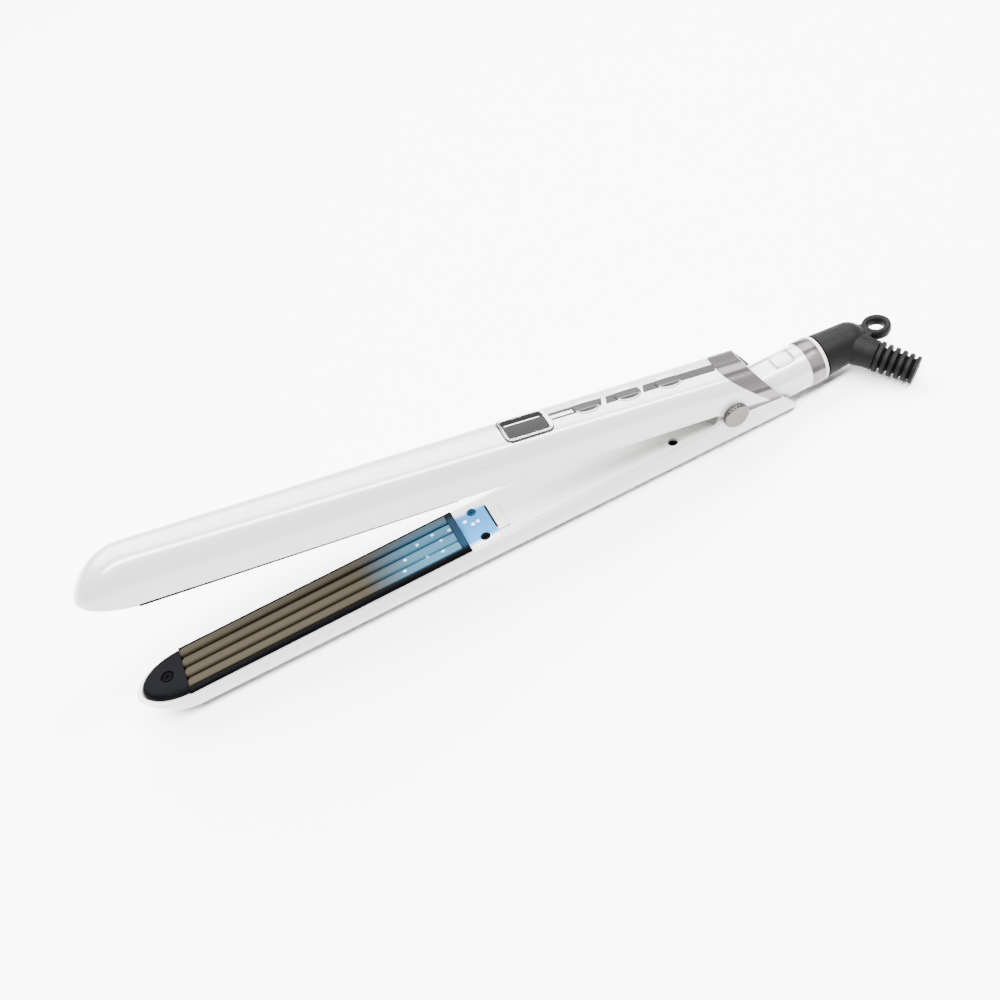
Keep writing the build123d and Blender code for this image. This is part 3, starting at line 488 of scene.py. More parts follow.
def joined(*meshes):
    """One mesh with the contents of several, which are used up."""
    first = meshes[0]
    for other in meshes[1:]:
        holder = bpy.data.meshes.new("part")
        other.to_mesh(holder)
        first.from_mesh(holder)
        bpy.data.meshes.remove(holder)
        other.free()
    return first


def new_object(name, bm):
    """Object in the scene with the mesh, which is used up."""
    mesh = bpy.data.meshes.new(name)
    bm.to_mesh(mesh)
    bm.free()
    made = bpy.data.objects.new(name, mesh)
    bpy.context.scene.collection.objects.link(made)
    return made


def subtract(target, *cutters):
    """Carve closed meshes out of an object."""
    for bm in cutters:
        tool = new_object("cutter", bm)
        carve = target.modifiers.new("carve", "BOOLEAN")
        carve.object, carve.operation, carve.solver = tool, "DIFFERENCE", "EXACT"
        bpy.context.view_layer.update()
        carved = bpy.data.meshes.new_from_object(target.evaluated_get(bpy.context.evaluated_depsgraph_get()))
        target.modifiers.clear()
        target.data = carved
        bpy.data.objects.remove(tool)
    return target


def shade_rows(shape, count, rows):
    """Object whose given rows of faces, between loops of count points, take its second material, a darker
    copy that paints shade there.
    """
    made = new_object("rows_in_shade", shape)
    for polygon in made.data.polygons:
        if polygon.index // count in rows:
            polygon.material_index = 1
    return made


def piece(name, shape, body, material, nodes=(), slot=None, bevel=0.0, angle=38, segments=2, second=None):
    """Finish a piece: soft edges, smooth shading, material, place, body and the CAD nodes it stands for."""
    made = shape if isinstance(shape, bpy.types.Object) else new_object(name, shape)
    made.name = name
    made.data.name = name
    for polygon in made.data.polygons:
        polygon.use_smooth = True
    made.data.set_sharp_from_angle(angle=radians(angle))
    if bevel:
        soft = made.modifiers.new("soft_edges", "BEVEL")
        soft.width, soft.segments = bevel * MM, segments
        soft.limit_method, soft.angle_limit = "ANGLE", radians(angle)
        soft.harden_normals = True
    while made.data.materials:
        made.data.materials.pop()
    made.data.materials.append(material)
    if second:
        made.data.materials.append(second)
    if body in SWUNG:
        made.matrix_world = OPEN
    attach(made, body)
    if nodes:
        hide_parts(*nodes)


def oval(half_x, half_y, count=72):
    return [(half_x * cos(2 * pi * i / count), half_y * sin(2 * pi * i / count)) for i in range(count)]


def ring(radius, count):
    return oval(radius, radius, count)


def lathe(profile, start, direction, count=64):
    """Turn a profile of (distance, radius) pairs about an axis."""
    along = Vector(direction).normalized()
    side = Vector((1, 0, 0)) if abs(along.z) > 0.9 else Vector((0, 0, 1))
    across = side.cross(along).normalized()
    up = along.cross(across)
    loops = [
        [Vector(start) + along * distance + across * u + up * v for u, v in ring(max(radius, 1e-6), count)]
        for distance, radius in profile
    ]
    return loops_mesh(loops)


def rounded_rectangle(half_x, half_y, radius, corner=8, straight=10):
    """Outline of a rounded rectangle, counter-clockwise, with points along its sides as well."""
    radius = min(radius, half_x - 0.01, half_y - 0.01)
    centres = [(half_x - radius, half_y - radius, 0), (radius - half_x, half_y - radius, 90),
               (radius - half_x, radius - half_y, 180), (half_x - radius, radius - half_y, 270)]
    points = []
    for number, (cx, cy, first) in enumerate(centres):
        arc = [radians(first + 90 * i / corner) for i in range(corner + 1)]
        points += [(cx + radius * cos(a), cy + radius * sin(a)) for a in arc]
        nx, ny, turn = centres[(number + 1) % 4]
        begin = points[-1]
        end = (nx + radius * cos(radians(turn)), ny + radius * sin(radians(turn)))
        points += [
            (begin[0] + (end[0] - begin[0]) * i / straight, begin[1] + (end[1] - begin[1]) * i / straight)
            for i in range(1, straight)
        ]
    return points


def box_mesh(low, high):
    """Closed box between two corners."""
    (x0, y0, z0), (x1, y1, z1) = low, high
    corners = [(x0, y0), (x1, y0), (x1, y1), (x0, y1)]
    return loops_mesh([[(x, y, z) for x, y in corners] for z in (z0, z1)], cap_first=True, cap_last=True)


def prism(outline, z0, z1):
    """Closed upright prism over an outline."""
    return loops_mesh([[(x, y, z) for x, y in outline] for z in (z0, z1)], cap_first=True, cap_last=True)


# ---------------------------------------------------------------------------------------- arm surfaces


def between(pair, x):
    """Value at x of a measure that runs straight between two values along the arm."""
    return pair[0] + (pair[1] - pair[0]) * max(x, 0) / TAPER


def roundness(x):
    """Factor that rounds off the arm's front end."""
    return sqrt(max(1 - (min(x, 0) / REACH) ** 2, 0))


def softened(points):
    """Section whose crease is rounded off, by averaging neighbours from SOFT_FROM on."""
    for _ in range(SOFT_PASSES):
        run = points[SOFT_FROM:]
        middle = [
            tuple((a + 2 * b + c) / 4 for a, b, c in zip(*trio)) for trio in zip(run, run[1:], run[2:])
        ]
        points[SOFT_FROM + 1 : SOFT_FROM + 1 + len(middle)] = middle
    return points


def half_section(x, side, inset, rim):
    """Half of an arm's outline at x as (y, depth) pairs, from the rim over the side to the middle.

    The lower arm is cut off flat where it lies on the table.
    """
    soft = roundness(x)
    half = (between(WIDTHS, x) - inset) * soft
    full = between(HEIGHTS[side], x)
    height = RIM + (full - inset - RIM) * soft**BLUNTNESS
    fullness = RIM + (FULLNESS * full - RIM) * soft**BLUNTNESS
    crease = (between(CREASES, x) - 0.45 * inset) * soft
    crown = CROWNS[side] * soft
    start = (rim - RIM) / max(2 * (fullness - RIM), 1e-3)
    points = []
    for i in range(SIDE_POINTS + 1):
        t = start + (1 - start) * i / SIDE_POINTS
        if t < 0:
            points.append((half, RIM + t * 2 * (fullness - RIM)))
        else:
            y = (1 - t) ** 2 * half + 2 * t * (1 - t) * half + t * t * crease
            points.append((y, (1 - t) ** 2 * RIM + 2 * t * (1 - t) * fullness + t * t * height))
    for i in range(1, BACK_POINTS + 1):
        y = crease * (1 - i / BACK_POINTS)
        points.append((y, height + crown * (1 - (y / crease) ** 2 if crease else 1)))
    points = softened(points)
    if side == LOWER:
        return [(y, min(depth, PARTING_Z - inset)) for y, depth in points]
    return points


def shell_loop(x, side, rim, proud=0.0):
    """Closed outline of a thick trough at x: over the outside, then back along the inside."""
    outer = half_section(x, side, -proud, rim)
    inner = half_section(x, side, WALL, rim)
    x_inner = x * (REACH - WALL) / REACH if x < 0 else x
    outside = outer + [(-y, depth) for y, depth in reversed(outer[:-1])]
    inside = inner + [(-y, depth) for y, depth in reversed(inner[:-1])]
    return [(x, y, PARTING_Z + side * depth) for y, depth in outside] + [
        (x_inner, y, PARTING_Z + side * depth) for y, depth in reversed(inside)
    ]


def back_height(x, y):
    """Height of the upper arm's crowned back while the arm is closed."""
    crease = between(CREASES, x)
    return PARTING_Z + between(HEIGHTS[UPPER], x) + CROWNS[UPPER] * (1 - (y / crease) ** 2)


def eased(x, start, end):
    """Smooth rise from zero at start to one at end."""
    t = min(max((x - start) / (end - start), 0), 1)
    return t * t * (3 - 2 * t)


def upper_seam(x):
    """Height of the upper arm's edge above the parting plane; it changes at the hinge and rises behind it."""
    seam = HINGE.z - PARTING_Z - SEAM_DROP + SEAM_GAP + (x - HINGE.x) * tan(radians(OPEN_ANGLE - SEAM_SLOPE))
    return RIM + (seam - RIM) * eased(x, 217, 224)


def tongue_height(x):
    """Height of the trim's tongue, which narrows from the hinge cap to the rear."""
    return 2.3 * eased(x, 219, 227) - 1.6 * eased(x, 228, 246)


def upper_rim(x):
    """Height of the upper shell's edge above the parting plane, over the trim's tongue."""
    return upper_seam(x) + tongue_height(x)


def lower_rim(x):
    """Depth of the lower shell's edge below the parting plane; the edge rises at the hinge, then falls."""
    seam = PARTING_Z - HINGE.z + SEAM_DROP + max(x - HINGE.x, 0) * tan(radians(SEAM_SLOPE))
    return RIM + (seam - RIM) * eased(x, 213, 220)


def steps(start, end, size):
    """Even stations from start to end, no further apart than size."""
    count = max(ceil(abs(end - start) / size), 1)
    return [start + (end - start) * i / count for i in range(count + 1)]


NOSE_ANGLES = (90, 88, 84, 78, 71, 64, 56, 48, 40, 32, 24, 16, 8)


def arm_shell(side, rim, end):
    """Trough of an arm from its nose to end, before its rear is cut to shape."""
    nose = [-REACH * sin(radians(a)) for a in NOSE_ANGLES]
    stations = nose + steps(0, 130, 5)[:-1] + steps(130, 212, 2.5)[:-1] + steps(212, end, 1.0)
    return loops_mesh([shell_loop(x, side, rim(x)) for x in stations], cap_last=True)


def wall_point(x, side, depth, inset):
    """Point of an arm's side wall at a depth; the inset is measured inwards from the outer surface."""
    half, crease, full = between(WIDTHS, x), between(CREASES, x), between(HEIGHTS[side], x)
    t = max((depth - RIM) / (2 * (FULLNESS * full - RIM)), 0)
    return half * (1 - t * t) + crease * t * t - inset


# ----------------------------------------------------------------------------- white shells, rear trim

# Slanted edges in side view, as two (x, z) points
TRIM_FRONT = ((216.2, 37.0), (245.4, 16.0))
TRIM_REAR = ((229.3, 37.0), (248.9, 16.0))
TAIL_UPPER = ((246.0, 14.0), (252.9, 6.1))
TAIL_LOWER = ((252.9, 6.1), (254.2, -1.0))


def add_lower_shell():
    bm = arm_shell(LOWER, lower_rim, 262)
    side_cut(bm, *TAIL_UPPER)
    side_cut(bm, *TAIL_LOWER)
    piece("lower_shell_skin", bm, "lower_arm", WHITE, ("lower_shell",), "white_shell", bevel=0.35, segments=3)


def inlay_cutter(outline, centre_x, depth):
    """Closed cutter whose floor follows the back at a depth and whose top clears it."""
    floor = [(centre_x + x, y, back_height(centre_x + x, y) - depth) for x, y in outline]
    top = [(x, y, z + depth + 3.0) for x, y, z in floor]
    return loops_mesh([floor, top], cap_first=True, cap_last=True)


def button_pockets():
    """Cutters of the oval pockets the buttons sink into."""
    outline = oval(BUTTON_SIZE[0] / 2 + 0.25, BUTTON_SIZE[1] / 2 + 0.25)
    return [inlay_cutter(outline, x, 1.6) for x in BUTTONS.values()]


def add_upper_shell():
    bm = arm_shell(UPPER, upper_rim, 256)
    side_cut(bm, *TRIM_FRONT)
    shell = new_object("upper_shell_skin", bm)
    x, length, width, corner = DISPLAY
    display_pocket = inlay_cutter(rounded_rectangle(length / 2 + 0.06, width / 2 + 0.06, corner), x, 1.2)
    subtract(shell, display_pocket, *button_pockets())
    piece("upper_shell_skin", shell, "upper_arm", WHITE, ("upper_shell",), "white_shell", bevel=0.2, angle=42)


def trim_mesh():
    """Slanted hood of the rear trim, just proud of the shell and a hair's breadth behind its edge."""
    loops = [shell_loop(x, UPPER, upper_rim(x), proud=0.03) for x in steps(206, 262, 1.0)]
    bm = loops_mesh(loops, cap_first=True, cap_last=True)
    side_cut(bm, *TRIM_REAR)
    (front_x, front_z), (rear_x, rear_z) = TRIM_FRONT
    side_cut(bm, (rear_x + 0.2, rear_z), (front_x + 0.2, front_z))
    return bm


def tongue_mesh(hand):
    """Strip of the trim that runs along the seam to the hinge cap on one hand."""
    loops = []
    for x in steps(226.5, 249, 1.25):
        low, high = upper_seam(x), upper_rim(x) + 0.05
        corners = ((low, -0.02), (high, -0.02), (high, 1.6), (low, 1.6))
        loops.append([(x, hand * wall_point(x, UPPER, d, inset), PARTING_Z + d) for d, inset in corners])
    bm = loops_mesh(loops, cap_first=True, cap_last=True)
    side_cut(bm, *TRIM_REAR)
    return bm


add_lower_shell()
add_upper_shell()
trim = joined(trim_mesh(), tongue_mesh(-1), tongue_mesh(1))
piece("rear_trim_skin", trim, "upper_arm", TRIM, ("rear_trim",), "chrome_trim", bevel=0.25)

# --------------------------------------------------------------------------- tips, holders and plates


def level(side, depth):
    """Height of a depth in an arm, measured from the parting plane."""
    return PARTING_Z + side * depth


def tip_mesh(side):
    """Ogive cap with a straight rear edge, its free edge rounded off towards the rim."""
    arc = [radians(90 + 180 * i / 40) for i in range(41)]
    outline = [(TIP_REACH * cos(a), HOLDER_HALF * sin(a)) for a in arc]
    layers = ((1.0, RIM + 0.4), (1.0, 2.3), (0.985, 1.5), (0.95, 0.95), (0.9, 0.65), (0.82, 0.5), (0.6, 0.45))
    loops = [[(x * scale, y * scale, level(side, depth)) for x, y in outline] for scale, depth in layers]
    return loops_mesh(loops, cap_first=True, cap_last=True)


def screw_seat(side):
    """Cutter of the turned seat for the tip's screw."""
    profile = [(-1, 0), (-1, 2.5), (1.0, 2.5), (1.25, 2.0), (1.25, 0)]
    return lathe(profile, (TIP_SCREW_X, 0, level(side, 0.45)), (0, 0, side), 48)


def slab(side, x_range, y_range, top, bottom):
    """Box between two depths of an arm."""
    (x0, x1), (y0, y1) = x_range, y_range
    return prism([(x0, y0), (x1, y0), (x1, y1), (x0, y1)], level(side, top), level(side, bottom))


def holder_mesh(side):
    """Tray under the plate: core, side skirts, rear strip and a low flange on the shell's rim."""
    top, bottom = SKIRT_EDGES[side], RIM + 3
    inner = PLATE_HALF + 0.02
    frame = [slab(side, (-0.2, 112), (-9.4, 9.4), PLATE_UNDER + 0.02, bottom)]
    for hand in (-1, 1):
        frame.append(slab(side, (-0.1, HOLDER_REAR), (hand * inner, hand * HOLDER_HALF), top, bottom))
    frame.append(slab(side, (PLATE_LENGTH + 0.1, HOLDER_REAR), (-inner, inner), top, bottom))
    flange = [(-1, -10.65), (113.2, -10.75), (113.2, 10.75), (-1, 10.65)]
    frame.append(prism(flange, level(side, RIM - FLANGE_PROUD[side]), level(side, RIM + 1)))
    return joined(*frame)


def plate_profile():
    """(y, drop) pairs across a plate's working face: the lower plate's ridges, the upper one's grooves."""
    pairs = []
    for number in range(4):
        crest = (number - 1.5) * PITCH
        for k in range(-6, 7):
            t = k / 6
            y = crest + t * PITCH / 2
            drop = CREST_FALL * t * t + (GROOVE_DEPTH - CREST_FALL) * max((abs(t) - 0.78) / 0.22, 0) ** 1.5
            if abs(y) <= PLATE_HALF and (not pairs or y - pairs[-1][0] > 1e-3):
                pairs.append((y, drop))
    return pairs


def plate_mesh(side):
    """Plate whose front edge is lobed, one lobe to each ridge of the lower plate."""
    face = plate_profile()
    top, under = PARTING_Z + (PLATE_CLEARANCE if side == UPPER else 0), level(side, PLATE_UNDER)
    loops = []
    for x in [0, 0.25, 0.6, 1.2, 2.5] + steps(6, PLATE_LENGTH - 0.3, 6) + [PLATE_LENGTH]:
        fade = max(1 - x / 6, 0)
        round_over = 0.5 * max(1 - x / 1.2, 0) ** 2
        loop = []
        for y, drop in face:
            off = y % PITCH - PITCH / 2
            lobe = 1.1 * (1 - sqrt(max(1 - (off / (PITCH / 2)) ** 2, 0)))
            loop.append((x + lobe * fade, y, top - drop + side * round_over))
        loop += [(x, face[-1][0], under), (x, face[0][0], under)]
        loops.append(loop)
    return loops_mesh(loops, cap_first=True, cap_last=True)


def add_to_arm(kind, shape, side, material, nodes, slot, **looks):
    """Add a piece to an arm, named after it."""
    name = "upper" if side == UPPER else "lower"
    piece(f"{name}_{kind}", shape, f"{name}_arm", material, (f"{name}_{nodes}",), slot, **looks)


for side in (LOWER, UPPER):
    tip = subtract(new_object("tip", tip_mesh(side)), screw_seat(side))
    add_to_arm("tip", tip, side, BLACK, "tip_cap", "black_plastic", bevel=0.35, segments=3)
for side in (LOWER, UPPER):
    add_to_arm("holder", holder_mesh(side), side, BLACK, "plate_holder", "black_plastic", bevel=0.2)
for side in (LOWER, UPPER):
    add_to_arm("plate", plate_mesh(side), side, PLATE, "crimp_plate", "plate_coating", bevel=0.08)

# ----------------------------------------------------------------------------------------- outlet block

outline = [(BLOCK_X + x, y) for x, y in rounded_rectangle(*BLOCK_HALF, 0.5)]
block = new_object("block", prism(outline, 7.8, 14.8))
subtract(block, box_mesh((125.5, -6.2, 12.6), (126.15, 6.9, 16)))
piece("outlet_block", block, "lower_arm", CREAM, ("ion_outlet",), "cream_plastic", bevel=0.3)
grille = box_mesh((125.5, -5.4, 11.0), (126.25, 6.8, 14.5))
piece("outlet_grille", grille, "lower_arm", STEEL, (), "black_plastic", bevel=0.05)

# ------------------------------------------------------------------------------------- display, buttons


def on_back(outline, centre_x, height):
    """Points over an outline, at a height above the upper arm's back."""
    return [(centre_x + x, y, back_height(centre_x + x, y) + height) for x, y in outline]


def dome(outline, centre_x, depth, edge, rise):
    """Closed piece set into the back: sunk side wall, rounded edge and a gently domed top."""

    def layer(shrink, height):
        return on_back([(x * shrink, y * shrink) for x, y in outline], centre_x, height)

    loops = [layer(1, -depth), layer(1, rise * 0.2)]
    for k in range(1, 5):
        turn = k / 4 * pi / 2
        loops.append(layer(1 - edge * (1 - cos(turn)), rise * (0.2 + 0.6 * sin(turn))))
    for k in range(1, 8):
        loops.append(layer((1 - edge) * (1 - k / 7), rise * (0.8 + 0.2 * k / 7)))
    return loops_mesh(loops, cap_first=True)


# Section of the display's frame as (inset, height) pairs, and the rows of it that take a painted shade
BEZEL = (
    (0.0, -1.0), (0.0, 0.1), (0.08, 0.3), (0.25, 0.43), (0.5, 0.46), (0.75, 0.4), (0.9, 0.24), (0.98, 0.12),
    (1.12, 0.12), (1.2, 0.2), (1.32, 0.2), (1.42, 0.05), (1.42, -0.6),
)
BEZEL_SHADE = (0, 1, 2, 3, 6, 7, 8, 11, 12)


def add_display():
    x, length, width, corner = DISPLAY
    loops = [
        on_back(rounded_rectangle(length / 2 - inset, width / 2 - inset, max(corner - inset, 0.6)), x, height)
        for inset, height in BEZEL
    ]
    # The frame's walls and groove take the darker chrome as painted shade.
    bezel = shade_rows(loops_mesh(loops + [loops[0]]), len(loops[0]), BEZEL_SHADE)
    piece(
        "display_bezel", bezel, "upper_arm", CHROME, ("display_frame",), "chrome_trim",
        angle=60, second=DARK_CHROME,
    )
    pane = dome(rounded_rectangle(length / 2 - 1.4, width / 2 - 1.4, 1.2), x, 0.9, 0.02, 0.06)
    piece("display_pane", pane, "upper_arm", GLASS, ("display_glass",), "dark_glass")


def add_buttons():
    for name, x in BUTTONS.items():
        shape = dome(oval(BUTTON_SIZE[0] / 2, BUTTON_SIZE[1] / 2), x, 0.95, 0.12, 0.65)
        piece(f"{name}_button_cap", shape, f"{name}_key", BUTTON_WHITE, (f"{name}_button",), "white_button")


def strip_mesh(outline):
    """Thin inlay that follows the back."""
    low, high = (on_back(outline, 0, height) for height in (-0.6, 0.12))
    return loops_mesh([low, high], cap_first=True, cap_last=True)


def slanted_segment(start, end, half, lean=0.8):
    """Outline of a strip segment with leaning ends."""
    bottom = [(x, -half) for x in steps(start - lean, end - lean, 1.5)]
    top = [(x, half) for x in steps(end + lean, start + lean, 1.5)]
    return bottom + top


def rail(start, end, low, high):
    """Outline of a straight strip segment, with points along its sides."""
    return [(x, low) for x in steps(start, end, 1.5)] + [(x, high) for x in steps(end, start, 1.5)]


def add_strip():
    """Two thin rails from the display, then leaning segments between and behind the buttons."""
    start, end, half = STRIP
    outlines = [
        slanted_segment(164.6, 174.4, half), slanted_segment(176.2, 189.6, half),
        slanted_segment(191.6, end - 0.8, half),
        rail(start, STRIP_FORK, 0.5, 1.9), rail(start, STRIP_FORK, -1.9, -1.2),
    ]
    strip = new_object("strip", joined(*[strip_mesh(outline) for outline in outlines]))
    subtract(strip, *button_pockets())
    piece("inlay_strip", strip, "upper_arm", SATIN, ("button_strip",), "silver_strip", bevel=0.05)


add_display()
add_buttons()
add_strip()

# ----------------------------------------------------------------------------------------------- hinge


CAP_PROFILE = (
    (0, 4.6), (0, 5.0), (0.2, CAP_RADIUS), (1.7, CAP_RADIUS),
    (2.0, 4.95), (2.18, 4.6), (2.12, 4.2), (2.05, 0.001),
)
CAP_POINTS = 6 * FLUTES


def hinge_cap(side):
    """Disc with a fluted rim, a chamfer and a slightly dished face."""
    loops = []
    for distance, radius in CAP_PROFILE:
        loop = []
        for i in range(CAP_POINTS):
            a = 2 * pi * i / CAP_POINTS
            r = radius - (0.14 if i % 6 in (0, 1) and radius > 5.1 else 0.0)
            loop.append((HINGE.x + r * cos(a), side * (CAP_FACE_Y + distance), HINGE.z + r * sin(a)))
        loops.append(loop)
    return loops_mesh(loops, cap_first=True)


for side, name in ((-1, "near"), (1, "far")):
    # The disc's fluted wall takes the darker finish as painted shade.
    disc = shade_rows(hinge_cap(side), CAP_POINTS, (0, 1, 2))
    piece(
        f"{name}_hinge_disc", disc, "lower_arm", DISC, ("hinge_caps",), "chrome_trim",
        angle=30, second=DISC_WALL,
    )

# --------------------------------------------------------------------------------- neck, lock and ring


def sleeve(profile, start, count=96):
    """Turned sleeve about the neck's axis, from a profile that this closes."""
    return lathe(profile + [profile[0]], (start, 0, NECK_Z), (1, 0, 0), count)


def add_neck():
    """Tube with a flat recess on its top and the slot of the lock in the recess's floor."""
    start, end = NECK_RUN
    length = end - start
    profile = [(0, NECK_BORE), (0, 8.9), (0.3, NECK_RADIUS), (length, NECK_RADIUS), (length, NECK_BORE)]
    neck = new_object("neck", sleeve(profile, start))
    recess = [(RECESS_X + x, y) for x, y in rounded_rectangle(8.5, 4.1, 1.2)]
    slot_hole = [(LOCK_X + x, y) for x, y in rounded_rectangle(3.3, 1.4, 0.1)]
    subtract(neck, prism(recess, PARTING_Z + RECESS_FLOOR, 30), prism(slot_hole, PARTING_Z - 3, 22))
    piece("neck_sleeve", neck, "lower_arm", WHITE, ("neck",), "white_shell", bevel=0.2)


def slider_mesh():
    """Lock slider: low domed block with rounded corners, its stem and its foot under the recess."""
    outline = rounded_rectangle(3.6, 3.85, 1.5)
    base = PARTING_Z + RECESS_FLOOR + 0.05
    loops = [[(LOCK_X + x, y, base) for x, y in outline]]
    for shrink, rise in ((1.0, 0.9), (0.985, 1.15), (0.94, 1.3), (0.6, 1.36), (0.3, 1.38), (0.0, 1.38)):
        loops.append([
            (LOCK_X + x * shrink, y * shrink, base + rise * (1 - 0.22 * (y * shrink / 3.9) ** 2))
            for x, y in outline
        ])
    stem = box_mesh((LOCK_X + 0.8, -1.2, PARTING_Z + 0.5), (LOCK_X + 3.0, 1.2, PARTING_Z + 2.7))
    foot = box_mesh((LOCK_X - 2.5, -2.5, PARTING_Z - 0.5), (LOCK_X + 2.5, 2.5, PARTING_Z + 0.5))
    return joined(loops_mesh(loops, cap_first=True), stem, foot)


def add_ring_and_collar():
    length = RING_END - NECK_RUN[1]
    rim = [(0, 9.3), (0.2, 9.5), (length - 0.2, 9.5), (length, 9.3)]
    band = sleeve([(0, SWIVEL_BORE), *rim, (length, SWIVEL_BORE)], NECK_RUN[1])
    piece("neck_band", band, "lower_arm", BAND, ("neck_ring",), "chrome_trim", angle=50)
    length = COLLAR_END - RING_END
    rim = [(0, 9.2), (length - 0.3, 9.2), (length, 8.9)]
    collar = sleeve([(0, SWIVEL_BORE), *rim, (length, SWIVEL_BORE)], RING_END)
    piece("neck_lip", collar, "lower_arm", CREAM, ("neck_collar",), "cream_plastic", angle=50)


add_neck()
piece("lock_button", slider_mesh(), "lock", WHITE, ("lock_slider",), "white_button", bevel=0.1)
add_ring_and_collar()

# ---------------------------------------------------------------------------------------- cord outlet

bend, droop = radians(ELBOW_BEND), radians(ELBOW_DROOP)
LEG = Vector((cos(bend), -sin(bend) * cos(droop), -sin(bend) * sin(droop)))
CORNER = Vector((ELBOW_CORNER, 0, NECK_Z))


def elbow_mesh():
    """Tapering tube with a ball end, and the thinner leg that leaves its centre."""
    run, (first, last) = BALL_X - ELBOW_START, ELBOW_RADII
    tube = [(0, 4.0), (0, first - 0.3), (0.3, first)]
    tube += [(run * k / 6, first + (last - first) * k / 6) for k in range(1, 7)]
    tube += [(run + last * sin(radians(a)), last * cos(radians(a))) for a in range(6, 91, 6)]
    swell = ((0, 0.4), (6.6, 0.5), (8.4, 0.1), (10.0, -0.1), (LEG_END - 0.5, -0.2), (LEG_END - 0.15, -0.4))
    leg = [(0, 1.0)] + [(distance, LEG_RADIUS + extra) for distance, extra in swell]
    leg += [(LEG_END, LEG_RADIUS - 0.8), (LEG_END, CORD_BORE), (6, CORD_BORE)]
    return joined(lathe(tube, (ELBOW_START, 0, NECK_Z), (1, 0, 0), 80), lathe(leg, CORNER, LEG, 64))


def loop_mesh():
    """Hanging loop: rounded ring lying level, with a web to the elbow."""
    profile = [(0.0, 0.8), (0.3, 1.7), (0.95, 2.18), (2.0, 2.18), (2.55, 1.7), (2.8, 0.9)]
    section = [(LOOP_HOLE + r, h) for r, h in profile] + [(LOOP_HOLE + r, -h) for r, h in reversed(profile)]
    loops = []
    for i in range(65):
        a = 2 * pi * i / 64
        loops.append([(LOOP_X + r * cos(a), r * sin(a), NECK_Z + h) for r, h in section])
    corners = ((-1, -1), (1, -1), (1, 1), (-1, 1))
    web = [
        [(x, y * half_y, NECK_Z + z * half_z) for y, z in corners]
        for x, half_y, half_z in ((286.0, 5.2, 2.6), (290.4, 4.4, 2.1), (293.2, 3.4, 1.9))
    ]
    return joined(loops_mesh(loops), loops_mesh(web, cap_first=True, cap_last=True))


def journal_mesh():
    """Hollow journal of the swivel, with the flange that holds it inside the neck."""
    length = ELBOW_START + 0.5 - FLANGE_START
    flange = [(0, PASSAGE), (0, 6.2), (2.8, 6.2), (2.8, JOURNAL_RADIUS)]
    return sleeve(flange + [(length, JOURNAL_RADIUS), (length, PASSAGE)], FLANGE_START, 48)


def relief_profile():
    """(distance, radius) pairs of the ribs on a thin core, and the pairs' numbers that belong to the core."""
    length, core = RELIEF_END - LEG_END, 4.2
    pairs, core_rows = [(0, CORD_BORE), (0, 4.4)], []
    for i in range(RIBS):
        top, start = 6.2 - 0.12 * i, 0.2 + i * RIB_PITCH
        end = min(start + RIB_WIDTH, length - 0.02)
        core_rows += [len(pairs) - 1, len(pairs)]
        pairs += [(start - 0.1, core), (start, core + 0.1), (start + 0.05, top - 0.35), (start + 0.25, top),
                  (end - 0.25, top), (end - 0.05, top - 0.35), (end, core)]
    pairs += [(length, core), (length, CORD_BORE), (0, CORD_BORE)]
    return pairs, core_rows


def add_outlet():
    elbow = joined(elbow_mesh(), loop_mesh())
    piece("elbow", elbow, "cord_outlet", RUBBER, ("swivel_elbow",), "black_plastic", bevel=0.25)
    piece("elbow_journal", journal_mesh(), "cord_outlet", BLACK, (), "black_plastic")
    pairs, core_rows = relief_profile()
    # The core between the ribs takes the darker rubber as painted shade.
    relief = shade_rows(lathe(pairs, CORNER + LEG * LEG_END, LEG, 64), 64, core_rows)
    piece(
        "ribbed_sleeve", relief, "cord_outlet", RUBBER, ("strain_relief",), "black_rubber",
        angle=30, second=DEEP_RUBBER,
    )


add_outlet()

# --------------------------------------------------------------------- finishes of the CAD pieces kept

KEPT = {
    "lower_cover": INNER_WHITE, "upper_cover": NYLON, "light_window": WINDOW,
    "ion_generator": NYLON, "led_board": BOARD, "control_board": BOARD, "display_panel": NYLON,
    "tact_switches": BLACK, "lower_screws": STEEL, "upper_screws": STEEL, "lower_bracket": NYLON,
    "upper_bracket": NYLON, "hinge_pin": BRIGHT_STEEL, "torsion_spring": BRIGHT_STEEL,
    "lower_heater": CERAMIC, "upper_heater": CERAMIC,
}
for node, material in KEPT.items():
    slots = frame["nodes"][node].data.materials
    slots.clear()
    slots.append(material)

# ----------------------------------------------------------------------------- floor, light and camera

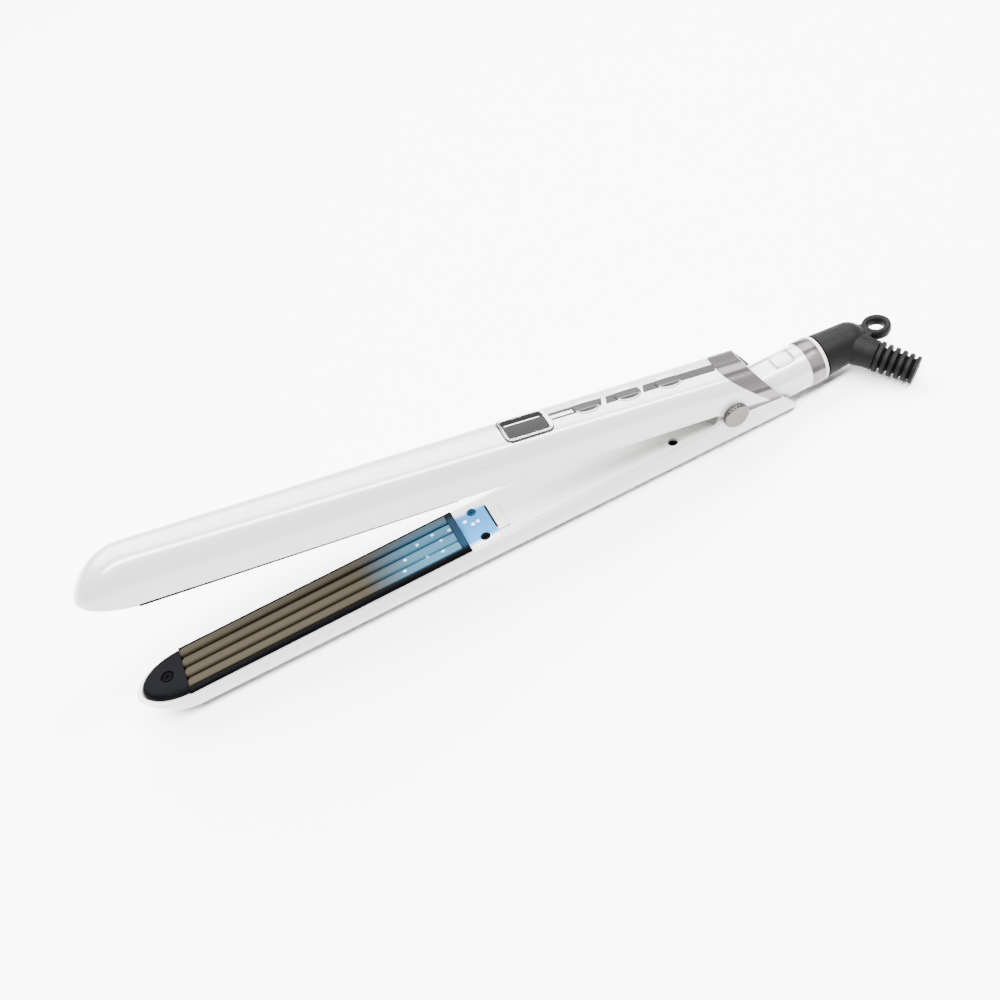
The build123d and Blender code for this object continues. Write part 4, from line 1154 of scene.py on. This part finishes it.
# The photograph's camera, in millimetres and degrees
EYE, AIM = Vector((83.62, -280.24, 327.97)), Vector((131.62, 3.45, 17.0))
ROLL = 19.694
LENS, SENSOR = 40.16, 36.0
LIT_POINT = (0.14, 0, 0.03)


def area_light(name, place, target, size, power):
    """Rectangular lamp that faces a point."""
    light = bpy.data.lights.new(name, "AREA")
    light.shape, light.size, light.size_y = "RECTANGLE", size[0], size[1]
    light.energy = power
    lamp = bpy.data.objects.new(name, light)
    bpy.context.scene.collection.objects.link(lamp)
    lamp.location = place
    lamp.rotation_euler = (Vector(target) - Vector(place)).to_track_quat("-Z", "Y").to_euler()


def add_floor():
    bm = bmesh.new()
    bmesh.ops.create_grid(bm, x_segments=8, y_segments=8, size=3.0)
    floor = new_object("floor", bm)
    paint = surface("floor", (0.95, 0.95, 0.95), 0.8, bump=0.02, vary=0.01, Specular_IOR_Level=0.1)
    floor.data.materials.append(paint)


def studio_world():
    """Soft surroundings, dimmer on the near side (-Y) than on the far side of the object."""
    made = bpy.data.worlds.new("studio")
    made.use_nodes = True
    tree = made.node_tree
    place = tree.nodes.new("ShaderNodeTexCoord")
    parts = tree.nodes.new("ShaderNodeSeparateXYZ")
    tree.links.new(place.outputs["Generated"], parts.inputs["Vector"])
    strength = remap(tree, parts.outputs["Y"], -0.25, 0.15, 0.25, 0.75)
    tree.links.new(strength, tree.nodes["Background"].inputs["Strength"])
    tree.nodes["Background"].inputs["Color"].default_value = (1, 1, 1, 1)
    return made


def add_camera():
    camera = bpy.data.objects.new("camera", bpy.data.cameras.new("camera"))
    bpy.context.scene.collection.objects.link(camera)
    bpy.context.scene.camera = camera
    camera.data.sensor_width, camera.data.lens = SENSOR, LENS
    eye, aim = EYE * MM, AIM * MM
    camera.matrix_world = (
        Matrix.Translation(eye)
        @ (aim - eye).to_track_quat("-Z", "Y").to_matrix().to_4x4()
        @ Matrix.Rotation(-radians(ROLL), 4, "Z")
    )


add_floor()
bpy.context.scene.world = studio_world()
area_light("key", (0.2, -0.42, 1.25), LIT_POINT, (2.4, 0.32), 165)
area_light("back", (0.2, 0.75, 0.95), LIT_POINT, (2.4, 0.9), 130)
add_camera()
